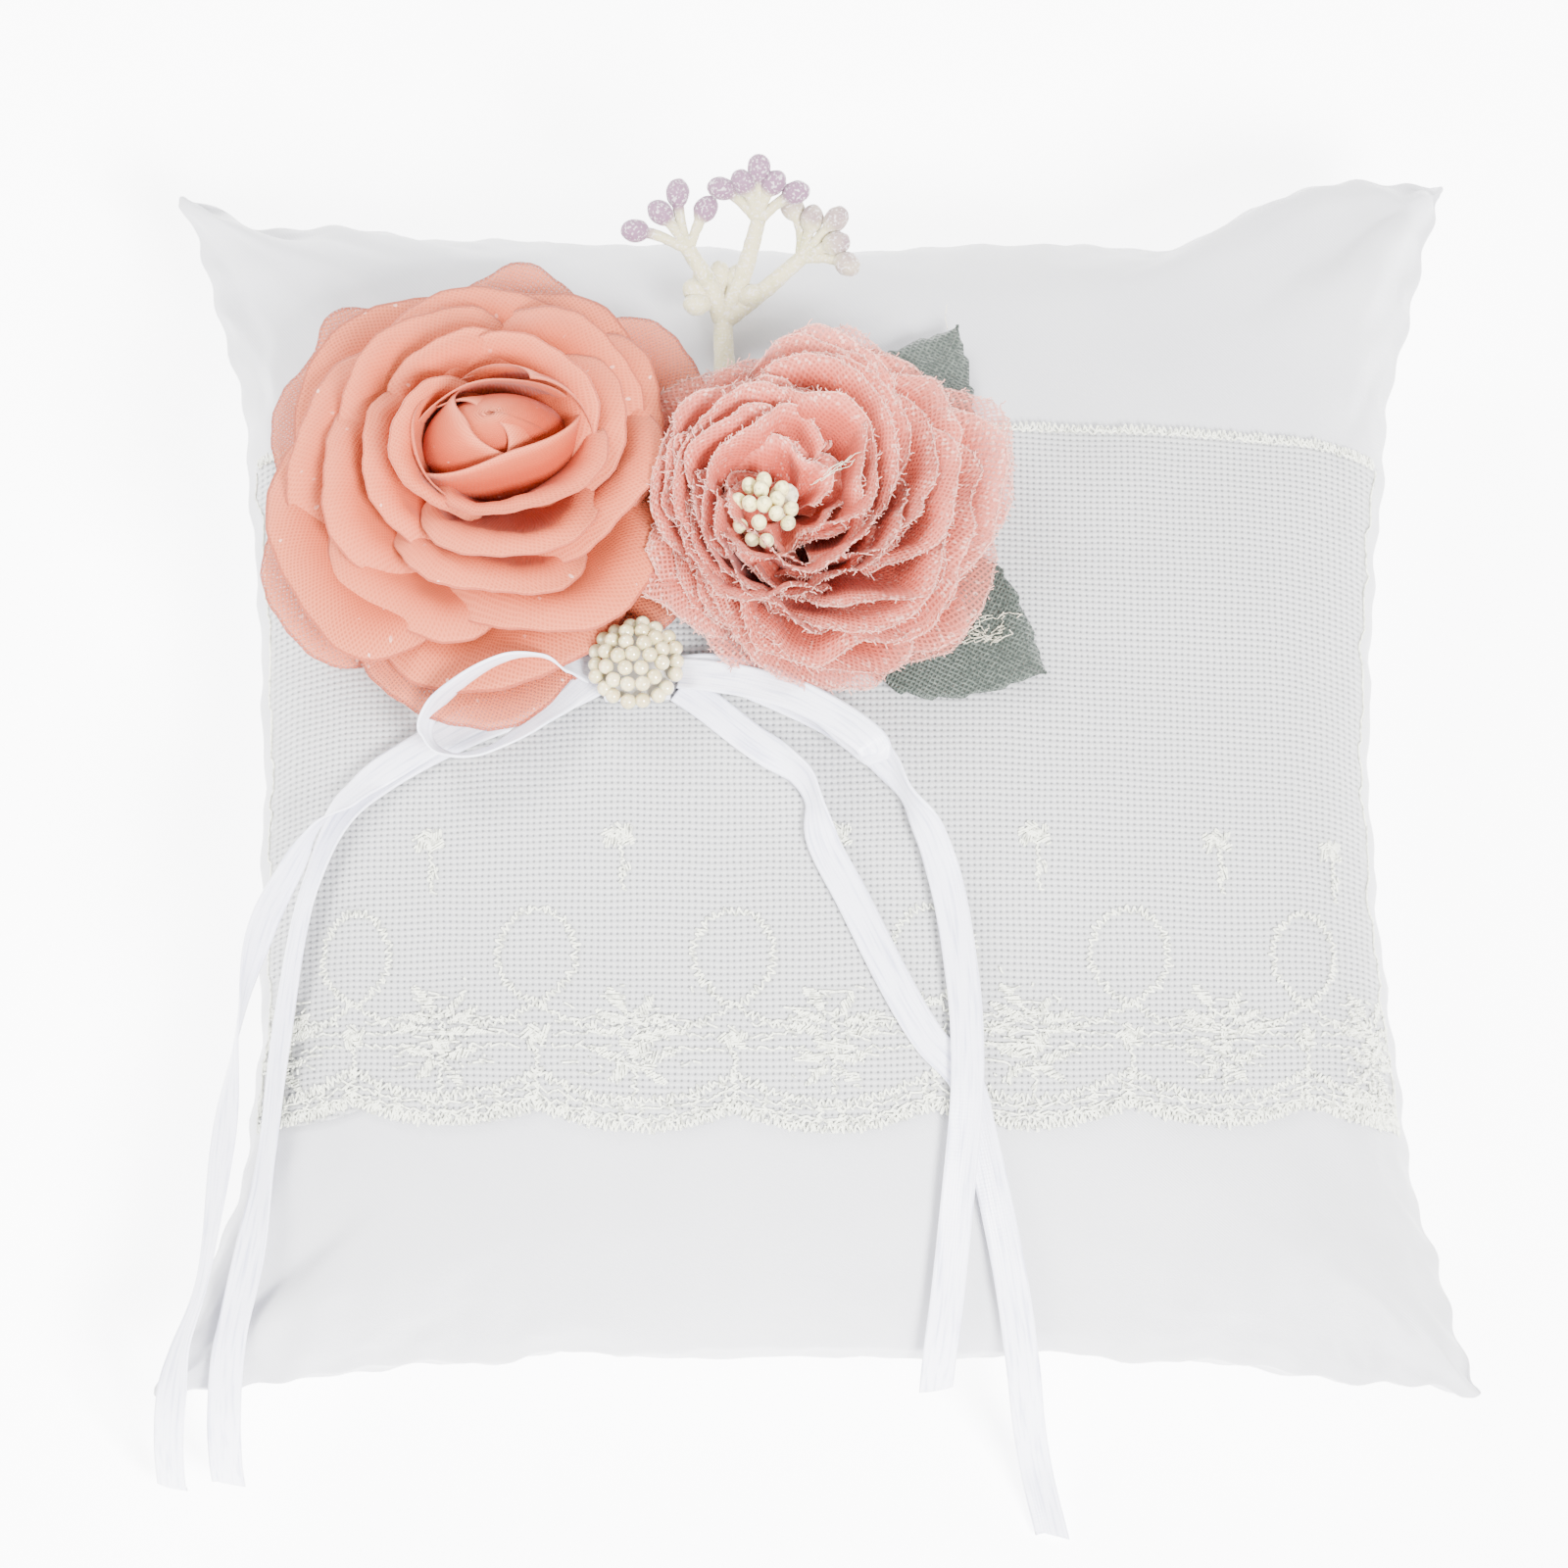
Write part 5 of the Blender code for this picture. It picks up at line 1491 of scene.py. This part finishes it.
# ----------------------------------------------------------------------- leaves, sprig and pearls
class Leaves:
    """Two toothed cloth leaves under the organza flower."""

    SHAPES = (
        ("cloth_leaf_upper", "leaf_upper", (0.0085, 0.0400), (0.0220, 0.0675), 0.0200),
        ("cloth_leaf_lower", "leaf_lower", (0.0075, 0.0200), (0.0350, 0.0064), 0.0270),
    )

    def __init__(self, cover: PillowCover) -> None:
        """Remember what the leaves lie on."""
        self.cover = cover
        self.pieces: list[tuple[bpy.types.Object, str]] = []

    def build(self, cloth: bpy.types.Material, thread: bpy.types.Material) -> None:
        """Cut the leaves, with their wire stubs and stray glue threads."""
        for name, node, root, tip, width in self.SHAPES:
            rows, columns = 60, 24
            a, b = np.array(root), np.array(tip)
            span = np.linalg.norm(b - a)
            way = (b - a) / span
            side = np.array([-way[1], way[0]])
            points, places = np.zeros((rows + 1, columns + 1, 3)), np.zeros((rows + 1, columns + 1, 2))
            vein = np.ones((rows + 1, columns + 1))
            for j in range(rows + 1):
                share = j / rows
                tooth = 0.0011 * ((share * 7.0) % 1.0) * (share < 0.93)
                outline = math.sin(math.pi * min(1.0, 0.06 + 0.94 * share) ** 0.85) ** 0.88
                half = width / 2 * outline * (1 - 0.30 * share ** 3) + tooth * 0.8
                for i in range(columns + 1):
                    place = 2 * i / columns - 1
                    spot = a + way * span * share + side * half * place
                    wave = 0.0007 * math.sin(9 * share + 2.2 * place) * abs(place) + 0.0010 * abs(place)
                    lift = 0.0018 + 0.0009 * (1 - abs(place)) + wave + 0.0012 * share ** 3
                    points[j, i] = self.cover.land(spot[0], spot[1], lift)
                    places[j, i] = (half * place, span * share)
                    vein[j, i] = abs(((share * 6 + 0.9 * abs(place)) % 1.0) - 0.5) if abs(place) > 0.05 else 0.0
            leaf = add_patches(name, [Patch(points, places, {"vein": vein}, flip=True)], cloth)
            thicken(leaf, 0.0003)
            self.pieces.append((leaf, node))
        random, lines = rng(41), []
        for _ in range(26):
            here = np.array([0.0225 + 0.006 * random.random(), 0.0110 + 0.005 * random.random(), 0.0])
            here[2] = self.cover.land(here[0], here[1], 0.0040).z
            for _ in range(4):
                there = here + np.array([0.0008, 0.0003, 0.0]) * random.normal() + 0.0004 * random.normal(size=3)
                lines.append((here, there))
                here = there
        end = np.array(self.cover.land(0.0205, 0.0668, 0.0035))
        bend = end + [-0.0004, 0.0018, 0.0012]
        lines += [(end, bend), (bend, end + [-0.0001, 0.0034, 0.0020])]
        wisp = StitchTree(radius=0.00006, waver=0.00006, seed=9)
        self.threads = add_stitches("leaf_loose_threads", lines, wisp, thread)

    def declare(self) -> None:
        """Attach the leaves and their loose threads to the body and hide the CAD leaves."""
        for piece, node in self.pieces:
            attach(piece, BODY)
            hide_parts(node)
        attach(self.threads, BODY)
        LOG.info("leaves: %d", len(self.pieces))


def tube(line: np.ndarray, radii: np.ndarray, tips: np.ndarray, sides: int = 14) -> Patch:
    """A round branch along a line, with its radius and tip mark at each point."""
    ahead = np.gradient(line, axis=0)
    ahead /= np.maximum(np.linalg.norm(ahead, axis=1, keepdims=True), 1e-9)
    side = np.cross(ahead, (0.31, -0.22, 0.92))
    side /= np.maximum(np.linalg.norm(side, axis=1, keepdims=True), 1e-9)
    other = np.cross(ahead, side)
    turn = np.linspace(0, 2 * np.pi, sides, endpoint=False)
    ring = np.cos(turn)[None, :, None] * side[:, None] + np.sin(turn)[None, :, None] * other[:, None]
    points = line[:, None] + ring * radii[:, None, None]
    places = np.stack(np.broadcast_arrays(turn[None] * 0.001, np.arange(len(line))[:, None] * 0.001), -1)
    return Patch(points, places, {"tip": np.broadcast_to(tips[:, None], points.shape[:2])}, loop=True)


class BerrySprig:
    """Flocked sprig that stands behind the flowers, with small lilac berries at its tips."""

    BERRY = 0.00185

    def __init__(self, cover: PillowCover) -> None:
        """Remember what the sprig rises from."""
        self.cover = cover

    def curve(self, knots: list, count: int) -> np.ndarray:
        """Smooth line through a few knots."""
        flat = np.array([tuple(knot) for knot in knots], float)
        spots = np.linspace(0, len(flat) - 1, count)
        wide = np.vstack([2 * flat[0] - flat[1], flat, 2 * flat[-1] - flat[-2]])
        base = np.minimum(spots.astype(int), len(flat) - 2)
        t = (spots - base)[:, None]
        p0, p1, p2, p3 = (wide[base + k] for k in range(4))
        return 0.5 * (
            2 * p1 + (p2 - p0) * t + (2 * p0 - 5 * p1 + 4 * p2 - p3) * t ** 2
            + (3 * p1 - p0 - 3 * p2 + p3) * t ** 3
        )

    def branch(self, knots: list, thick: float, club: bool) -> Patch:
        """One stalk, with a pear-shaped berry at its end where it bears one."""
        line = self.curve(knots, 60)
        run = np.concatenate([[0.0], np.cumsum(np.linalg.norm(np.diff(line, axis=0), axis=1))])
        if club:
            round_off = np.linspace(0, np.pi, 18)
            berry = run[-1] - self.BERRY * 1.25 * (1 + np.cos(round_off))
            where = np.concatenate([np.linspace(0, berry[0], 18, endpoint=False), berry])
            neck = thick * (0.62 + 0.25 * where / run[-1])
            bulb = np.concatenate([np.zeros(18), self.BERRY * np.sin(round_off)])
            radii = np.maximum(neck * (where < berry[8]), bulb)
            tips = smooth(0.25, 0.80, where / run[-1])
        else:
            where = np.linspace(0, run[-1], 40)
            radii = thick * (1.15 - 0.30 * where / run[-1])
            tips = 0.10 * where / run[-1]
        line = np.stack([np.interp(where, run, line[:, k]) for k in range(3)], 1)
        radii[0] *= 0.2
        radii[-1] = 0.00002
        return tube(line, radii, tips)

    def build(self, flock: bpy.types.Material) -> None:
        """Grow the stem, its three forks and every twig with its berry."""
        foot = [self.cover.land(-0.0140, 0.0520, 0.0030), self.cover.land(-0.0143, 0.0610, 0.0038)]
        fork = Vector((-0.0145, 0.0690, 0.0520))
        patches = [self.branch([foot[0], foot[1], fork, fork + Vector((0, 0.001, 0.0008))], 0.00165, False)]
        sprays = (
            ((-0.0198, 0.0772, 0.0590), 116, 104, 0.0095, 0.0040, 4),
            ((-0.0091, 0.0815, 0.0600), 88, 120, 0.0080, 0.0055, 5),
            ((-0.0026, 0.0764, 0.0575), 42, 125, 0.0085, 0.0045, 5),
        )
        for number, (place, heading, fan, reach, rise, count) in enumerate(sprays):
            node = Vector(place)
            middle = fork.lerp(node, 0.5) + Vector((0.0006, -0.0004, 0.0006))
            stalk = [fork - Vector((0, 0.0006, 0)), middle, node, node + (node - middle) * 0.12]
            patches.append(self.branch(stalk, 0.00140, False))
            random = rng(50 + number)
            for k in range(count):
                spot = 2 * k / (count - 1) - 1
                angle = math.radians(heading - fan / 2 * spot)
                length = reach * (1 - 0.18 * (k % 2)) * 1.05
                way = Vector((math.cos(angle) * length, math.sin(angle) * length, rise * (1 - 0.35 * abs(spot))))
                bend = Vector((-way.y, way.x, 0)) * (0.10 * spot + 0.04 * random.normal())
                twig = [node, node + way * 0.4 + bend, node + way * 0.75 + bend, node + way * 1.08]
                patches.append(self.branch(twig, 0.00118, True))
        base = fork + Vector((0.0, 0.0022, 0.0010))
        for heading in (165, 97, 2, 200, 130, 60):
            angle = math.radians(heading)
            way = Vector((math.cos(angle) * 0.0058, math.sin(angle) * 0.0052, 0.0028))
            patches.append(self.branch([base, base + way * 0.5, base + way * 0.8, base + way * 1.1], 0.0015, True))
        for patch in patches[-6:]:
            patch.marks["tip"] = np.zeros(patch.points.shape[:2])
        for patch in patches[-11:-6]:
            patch.marks["tip"] = patch.marks["tip"] * 0.62
        self.piece = add_patches("flocked_sprig", patches, flock)
        mesh = self.piece.data
        spots = np.empty(len(mesh.vertices) * 3)
        mesh.vertices.foreach_get("co", spots)
        spots = spots.reshape(-1, 3)
        normals = np.array([tuple(v.normal) for v in mesh.vertices])
        fuzz = np.array([noise.noise(Vector(p) * 900.0) for p in spots])
        mesh.vertices.foreach_set("co", (spots + normals * (0.00012 * fuzz)[:, None]).astype(np.float32).ravel())
        mesh.update()

    def declare(self) -> None:
        """Attach the sprig to the body and hide the CAD stem and sprays."""
        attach(self.piece, BODY)
        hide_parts("sprig_stem", "sprig_left_spray", "sprig_top_spray", "sprig_right_spray")
        LOG.info("sprig: %d faces", len(self.piece.data.polygons))


class PearlDome:
    """Domed cluster of pearls sewn over the ribbon's knot."""

    def __init__(self, cover: PillowCover, seat: Seat = Seat(-0.0272, 0.0062, 0.0052, (-0.10, 0.02))) -> None:
        """Place the dome on the cover."""
        self.frame = seat.frame(cover)

    def build(self, lacquer: bpy.types.Material) -> None:
        """String the pearls in rings around the one at the top."""
        random, spots, leans = rng(61), [], []
        rings = ((0.0, 1, 0.0058), (0.00235, 6, 0.0054), (0.0045, 12, 0.0042), (0.0063, 18, 0.0022))
        for radius, count, height in rings:
            for k in range(count):
                angle = 2 * math.pi * (k + 0.5 * (count == 12)) / count + 0.03 * random.normal()
                place = np.array([radius * math.cos(angle), radius * math.sin(angle), height])
                spots.append(into(self.frame, place + 0.00012 * random.normal(size=3)))
                leans.append((math.cos(angle), math.sin(angle), 0.4))
        pearls = BeadTree(diameter=0.00245, spread=0.05, seed=4)
        self.piece = add_beads("pearl_cluster", np.array(spots), np.array(leans), pearls, lacquer)

    def declare(self) -> None:
        """Attach the pearls to the body and hide the CAD pearl rings."""
        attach(self.piece, BODY)
        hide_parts("pearl_centre", "pearl_inner_ring", "pearl_middle_ring", "pearl_outer_ring")
        LOG.info("pearls: %d faces", len(self.piece.data.polygons))


# ----------------------------------------------------------------------------------- the ribbons
class FarEnd(Enum):
    """Where a ribbon's far end is."""

    LOOSE = "bare"
    SEWN = "object"


@dataclass(frozen=True)
class RibbonRoute:
    """The way one ribbon lies.

    Attributes:
        name: Name of the piece.
        node: The CAD node that it stands for.
        end: Where its far end is.
        over: Places over the cover: X, Y, height above the cover, in millimetres, and roll in degrees.
        past: Places past the cover's edge: X, Y, height above the table, in millimetres, and roll.
    """

    name: str
    node: str
    end: FarEnd
    over: tuple
    past: tuple = ()


ROUTES = (
    RibbonRoute("ribbon_left_outer", "ribbon_tail_left_1", FarEnd.LOOSE, (
        (-33.6, 7.0, 2.9, 0), (-40.0, 4.5, 2.3, 0), (-52.0, 1.0, 2.2, 0), (-65.0, -5.5, 2.4, 0),
        (-71.0, -10.0, 3.4, 20), (-76.5, -15.0, 5.6, 60), (-80.0, -20.5, 6.6, 80)), (
        (-84.5, -30.0, 45.0, 85), (-87.5, -43.0, 41.0, 60), (-90.0, -62.0, 37.5, 30), (-92.5, -82.0, 35.5, 20),
        (-96.0, -93.0, 33.0, 20), (-97.5, -100.5, 29.0, 25), (-98.4, -104.5, 18.0, 25), (-98.8, -106.5, 6.0, 25))),
    RibbonRoute("ribbon_left_inner", "ribbon_tail_left_2", FarEnd.LOOSE, (
        (-33.6, 5.5, 2.2, 0), (-40.0, 3.0, 1.4, 0), (-52.0, -0.5, 1.4, 0), (-65.5, -6.5, 1.4, 0),
        (-72.5, -12.5, 1.8, 10), (-76.5, -21.0, 2.4, 15), (-79.0, -30.0, 2.6, 10), (-81.5, -47.0, 2.6, 0),
        (-83.0, -63.0, 2.6, 0), (-85.5, -79.0, 2.6, 0)), (
        (-88.5, -93.0, 34.5, 0), (-89.5, -101.0, 28.0, 0), (-90.0, -105.0, 16.0, 0), (-90.0, -106.5, 8.0, 0))),
    RibbonRoute("ribbon_right_upper", "ribbon_tail_right_1", FarEnd.LOOSE, (
        (-20.8, 6.5, 2.9, 0), (-15.0, 6.0, 3.0, 0), (-8.0, 3.0, 3.2, 0), (2.5, -2.5, 3.4, 0),
        (9.5, -8.5, 4.4, 35), (13.6, -14.5, 5.0, 70), (17.3, -21.0, 4.2, 30), (19.9, -30.0, 3.2, 0),
        (21.7, -42.0, 2.8, 0), (22.4, -51.0, 2.8, 0), (22.3, -61.0, 2.8, 0), (20.9, -75.0, 2.8, 0),
        (19.5, -87.0, 3.0, 0)), (
        (18.6, -92.6, 33.0, 0), (18.1, -95.4, 21.0, 0))),
    RibbonRoute("ribbon_right_lower", "ribbon_tail_right_2", FarEnd.LOOSE, (
        (-20.8, 4.0, 2.2, 0), (-16.5, 1.0, 1.6, 0), (-10.0, -4.5, 1.8, 0), (-3.0, -10.0, 3.4, 50),
        (-0.5, -14.5, 3.8, 60), (1.0, -21.0, 2.4, 15), (5.5, -30.0, 1.6, 0), (11.3, -42.0, 1.5, 0),
        (16.5, -51.0, 1.4, 0), (22.2, -57.5, 1.4, 0), (24.6, -66.0, 1.5, 0), (27.5, -78.0, 1.7, 0),
        (29.5, -87.0, 2.4, 0)), (
        (31.2, -95.5, 30.0, 0), (32.2, -99.5, 18.0, 0), (33.8, -104.5, 6.0, 0), (36.2, -113.0, 1.0, 0))),
    RibbonRoute("bow_left", "bow_loop_left", FarEnd.SEWN, (
        (-34.4, 6.8, 4.4, 0), (-38.0, 7.2, 6.4, 30), (-42.5, 7.4, 10.4, 60), (-48.0, 6.0, 13.0, 75),
        (-53.5, 3.4, 12.6, 80), (-58.0, 0.4, 10.4, 85), (-59.2, -3.0, 8.2, 95), (-56.2, -6.2, 7.4, 110),
        (-50.0, -6.0, 6.8, 125), (-43.0, -2.0, 6.0, 145), (-37.5, 2.5, 4.4, 165), (-34.4, 5.6, 3.6, 180))),
    RibbonRoute("bow_right", "bow_loop_right", FarEnd.SEWN, (
        (-20.8, 6.0, 3.7, 0), (-16.0, 6.0, 4.4, 0), (-8.0, 3.5, 5.6, 0), (0.0, -1.0, 6.8, 0),
        (5.8, -6.8, 8.6, 0), (8.6, -9.8, 10.1, 0), (7.6, -8.7, 12.1, 0), (3.4, -5.2, 11.6, 0),
        (-3.0, -0.8, 9.8, 0), (-10.0, 2.5, 7.2, 0), (-16.0, 4.5, 5.3, 0), (-20.8, 5.5, 4.4, 0))),
)


@dataclass(frozen=True)
class RibbonSize:
    """Sizes of the narrow satin ribbon, in metres."""

    width: float = 0.005
    thickness: float = 0.0003
    per_span: int = 10


class RibbonTies:
    """Satin ribbons sewn under the pearls: two loops and four tails."""

    def __init__(self, cover: PillowCover, size: RibbonSize = RibbonSize()) -> None:
        """Remember what the ribbons lie on."""
        self.cover, self.size = cover, size
        self.made: list[tuple[bpy.types.Object, RibbonRoute, list]] = []

    def knots(self, route: RibbonRoute) -> tuple[np.ndarray, np.ndarray]:
        """A route's own points in world space, and their rolls."""
        points = [self.rest(x * MM, y * MM, lift * MM) for x, y, lift, _ in route.over]
        points += [(x * MM, y * MM, z * MM) for x, y, z, _ in route.past]
        return np.array(points), np.array([place[3] for place in route.over + route.past], float)

    def rest(self, x: float, y: float, lift: float) -> tuple[float, float, float]:
        """Point above the cover, over the highest of what lies within a ribbon's half width."""
        reach = self.size.width / 2
        levels = [self.cover.land(x + a * reach, y + b * reach).z for a in (-1, 0, 1) for b in (-1, 0, 1)]
        return x, y, (max(levels) + sum(levels) / 9) / 2 + lift

    def smooth_line(self, points: np.ndarray, rolls: np.ndarray) -> tuple[np.ndarray, np.ndarray]:
        """Points and rolls along a smooth curve through the route's own."""
        wide = np.vstack([points[:1], points, points[-1:]])
        line, turn = [], []
        for k in range(len(points) - 1):
            p0, p1, p2, p3 = wide[k : k + 4]
            for t in np.arange(self.size.per_span) / self.size.per_span:
                line.append(0.5 * (
                    2 * p1 + (p2 - p0) * t + (2 * p0 - 5 * p1 + 4 * p2 - p3) * t * t
                    + (3 * p1 - p0 - 3 * p2 + p3) * t ** 3
                ))
                turn.append(rolls[k] + (rolls[k + 1] - rolls[k]) * (3 * t * t - 2 * t ** 3))
        return np.array(line + [points[-1]]), np.array(turn + [rolls[-1]])

    def facing(self, point: np.ndarray) -> Vector:
        """Which way the ribbon's face looks at a point."""
        across, along = self.cover.size.grid(point[0], point[1])
        if abs(across) < 0.93 and abs(along) < 0.93:
            return self.cover.slope(point[0], point[1])
        if abs(across) > abs(along):
            return Vector((math.copysign(1.0, across), 0.0, 1.0)).normalized()
        return Vector((0.0, math.copysign(1.0, along), 1.0)).normalized()

    def build(self, satin: bpy.types.Material) -> None:
        """Sweep every ribbon along its route."""
        for number, route in enumerate(ROUTES):
            line, rolls = self.smooth_line(*self.knots(route))
            ahead = np.gradient(line, axis=0)
            faces = np.array([tuple(self.facing(point)) for point in line])
            kernel = np.hanning(13)
            kernel /= kernel.sum()
            padded_faces = np.vstack([faces[:1]] * 6 + [faces] + [faces[-1:]] * 6)
            faces = np.stack([np.convolve(padded_faces[:, k], kernel, "valid") for k in range(3)], 1)
            columns, before, rows = 10, None, []
            travelled = np.concatenate([[0.0], np.cumsum(np.linalg.norm(np.diff(line, axis=0), axis=1))])
            for k, point in enumerate(line):
                way = Vector(ahead[k]).normalized()
                wide = Vector(faces[k]).cross(way).normalized()
                wide = Matrix.Rotation(math.radians(rolls[k]), 3, way) @ wide
                if before is not None and wide.dot(before) < 0:
                    wide = -wide
                before = wide
                up = way.cross(wide).normalized()
                row = []
                for c in range(columns + 1):
                    s = 2 * c / columns - 1
                    arch = 0.00035 * (1 - s * s) * math.sin(travelled[k] / 0.011 + number)
                    row.append(tuple(Vector(point) + wide * (s * self.size.width / 2) + up * arch))
                rows.append(row)
            points = np.array(rows)
            if route.end is FarEnd.LOOSE:
                s = np.linspace(-1, 1, columns + 1)
                way = ahead[-1] / np.linalg.norm(ahead[-1])
                points[-1] += way[None] * (0.0012 * (1 if number % 2 else -1) * s)[:, None]
            lane = np.linspace(-0.5, 0.5, columns + 1)[None] * self.size.width
            places = np.stack(np.broadcast_arrays(lane, travelled[:, None] + 0.2 * number), -1)
            piece = add_patches(route.name, [Patch(points, places)], satin)
            thicken(piece, self.size.thickness)
            self.made.append((piece, route, line.tolist()))

    def declare(self) -> None:
        """Attach the ribbons to the body and hide the CAD nodes that they stand for."""
        for piece, route, line in self.made:
            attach(piece, BODY)
            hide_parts(route.node)


# ------------------------------------------------------------------------------------- the studio
@dataclass(frozen=True)
class Lamp:
    """One soft box: where it hangs, what it looks at, its size and its power."""

    name: str
    place: tuple[float, float, float]
    size: float
    power: float

    def build(self, target: Vector) -> None:
        """Hang the lamp."""
        data = bpy.data.lights.new(self.name, "AREA")
        data.shape, data.size, data.energy = "SQUARE", self.size, self.power
        lamp = bpy.data.objects.new(self.name, data)
        bpy.context.collection.objects.link(lamp)
        lamp.location = self.place
        lamp.rotation_euler = (target - Vector(self.place)).to_track_quat("-Z", "Y").to_euler()


@dataclass(frozen=True)
class Studio:
    """Pale floor, soft boxes and the camera."""

    elevation: float = 69.0
    distance: float = 1.2
    lens: float = 177.0
    target: tuple[float, float, float] = (-0.005, 0.0003, 0.028)
    lamps: tuple[Lamp, ...] = (
        Lamp("key", (0.7, -1.1, 1.5), 0.6, 185.0),
        Lamp("top", (-0.8, 1.1, 1.2), 0.7, 45.0),
        Lamp("side", (-1.3, -0.4, 0.8), 0.9, 35.0),
    )
    glow: float = 1.8
    floor_glow: float = 4.5

    def build(self) -> None:
        """Set the stage."""
        target = Vector(self.target)
        angle = math.radians(self.elevation)
        data = bpy.data.cameras.new("camera")
        data.lens, data.sensor_width = self.lens, 36.0
        data.clip_start, data.clip_end = 0.05, 20.0
        camera = bpy.data.objects.new("camera", data)
        bpy.context.collection.objects.link(camera)
        back = Vector((0.0, -math.cos(angle), math.sin(angle)))
        camera.location = target + back * self.distance
        camera.rotation_euler = (-back).to_track_quat("-Z", "Y").to_euler()
        bpy.context.scene.camera = camera
        for lamp in self.lamps:
            lamp.build(target)
        world = bpy.data.worlds.new("studio_glow")
        world.use_nodes = True
        sky = world.node_tree.nodes["Background"]
        sky.inputs["Color"].default_value = (1.0, 1.0, 1.0, 1.0)
        sky.inputs["Strength"].default_value = self.glow
        bpy.context.scene.world = world
        wire = Wire("studio_floor", 0.9)
        wire.colour((0.95, 0.95, 0.95))
        wire.shader.inputs["Specular IOR Level"].default_value = 0.0
        wire.shader.inputs["Emission Color"].default_value = (1.0, 1.0, 1.0, 1.0)
        wire.shader.inputs["Emission Strength"].default_value = self.floor_glow
        far, level = 6, -0.0005
        corners = np.array([(-far, -far, level), (far, -far, level), (far, far, level), (-far, far, level)])
        floor = make_mesh("floor", corners, [(0, 1, 2, 3)])
        floor.data.materials.append(wire.material)


def dress(nodes: tuple[str, ...], material: bpy.types.Material) -> None:
    """Give CAD nodes that stay in sight their finish."""
    for name in nodes:
        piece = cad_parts[name]
        piece.data.materials.clear()
        piece.data.materials.append(material)


def main() -> None:
    """Build the studio and every piece of the pillow, then attach them to the body and hide the CAD parts they replace.
    """
    logging.basicConfig(level=logging.INFO, format="%(name)s: %(message)s")
    Studio().build()
    # Each petal cloth: root colour (darkened with painted shade), middle, rim and edge colours, then weave, depth,
    # glitter (flecks painted pale as glints), sheer and glow.
    peach = PetalFinish(
        "peach_chiffon", (0.34, 0.038, 0.011), (0.45, 0.080, 0.031), (0.57, 0.148, 0.074), (0.38, 0.080, 0.042),
        0.00042, 0.00006, 0.008, 0.60, 0.08,
    )
    coral = PetalFinish(
        "coral_organza", (0.36, 0.045, 0.026), (0.46, 0.082, 0.050), (0.58, 0.180, 0.132), (0.66, 0.300, 0.240),
        0.00055, 0.00008, 0.42, 0.62, 0.06,
    )
    white_thread = ThreadFinish("embroidery_thread", (0.78, 0.79, 0.68)).build()
    cream_thread = ThreadFinish("cream_thread", (0.70, 0.64, 0.48)).build()
    coral_thread = ThreadFinish("coral_fray", (0.66, 0.300, 0.240)).build()
    cream = ThreadFinish("cream_heads", (0.82, 0.74, 0.36), 0.38).build()
    satin, ribbon = SatinFinish().build(), RibbonFinish().build()

    cover = PillowCover()
    cover.build(satin)
    lace = LaceBand(cover)
    lace.build_net(NetFinish().build())
    lace.build_embroidery(white_thread)
    leaves = Leaves(cover)
    leaves.build(LeafFinish().build(), cream_thread)
    rose = Rose(cover)
    rose.build(peach.build())
    organza = OrganzaFlower(cover)
    organza.build(coral.build())
    organza.fray(coral_thread)
    organza.heart(cream, cream_thread)
    sprig = BerrySprig(cover)
    sprig.build(FlockFinish().build())
    pearls = PearlDome(cover)
    pearls.build(PearlFinish().build())
    ties = RibbonTies(cover)
    ties.build(ribbon)
    dress(("rose_backing", "organza_backing", "pearl_backing"), FeltFinish().build())
    dress(("rose_stem", "organza_stem", "stamen_stalks"), cream_thread)
    dress(("ribbon_knot",), ribbon)
    for part in (cover, lace, leaves, rose, organza, sprig, pearls, ties):
        part.declare()


if __name__ == "__main__":
    main()
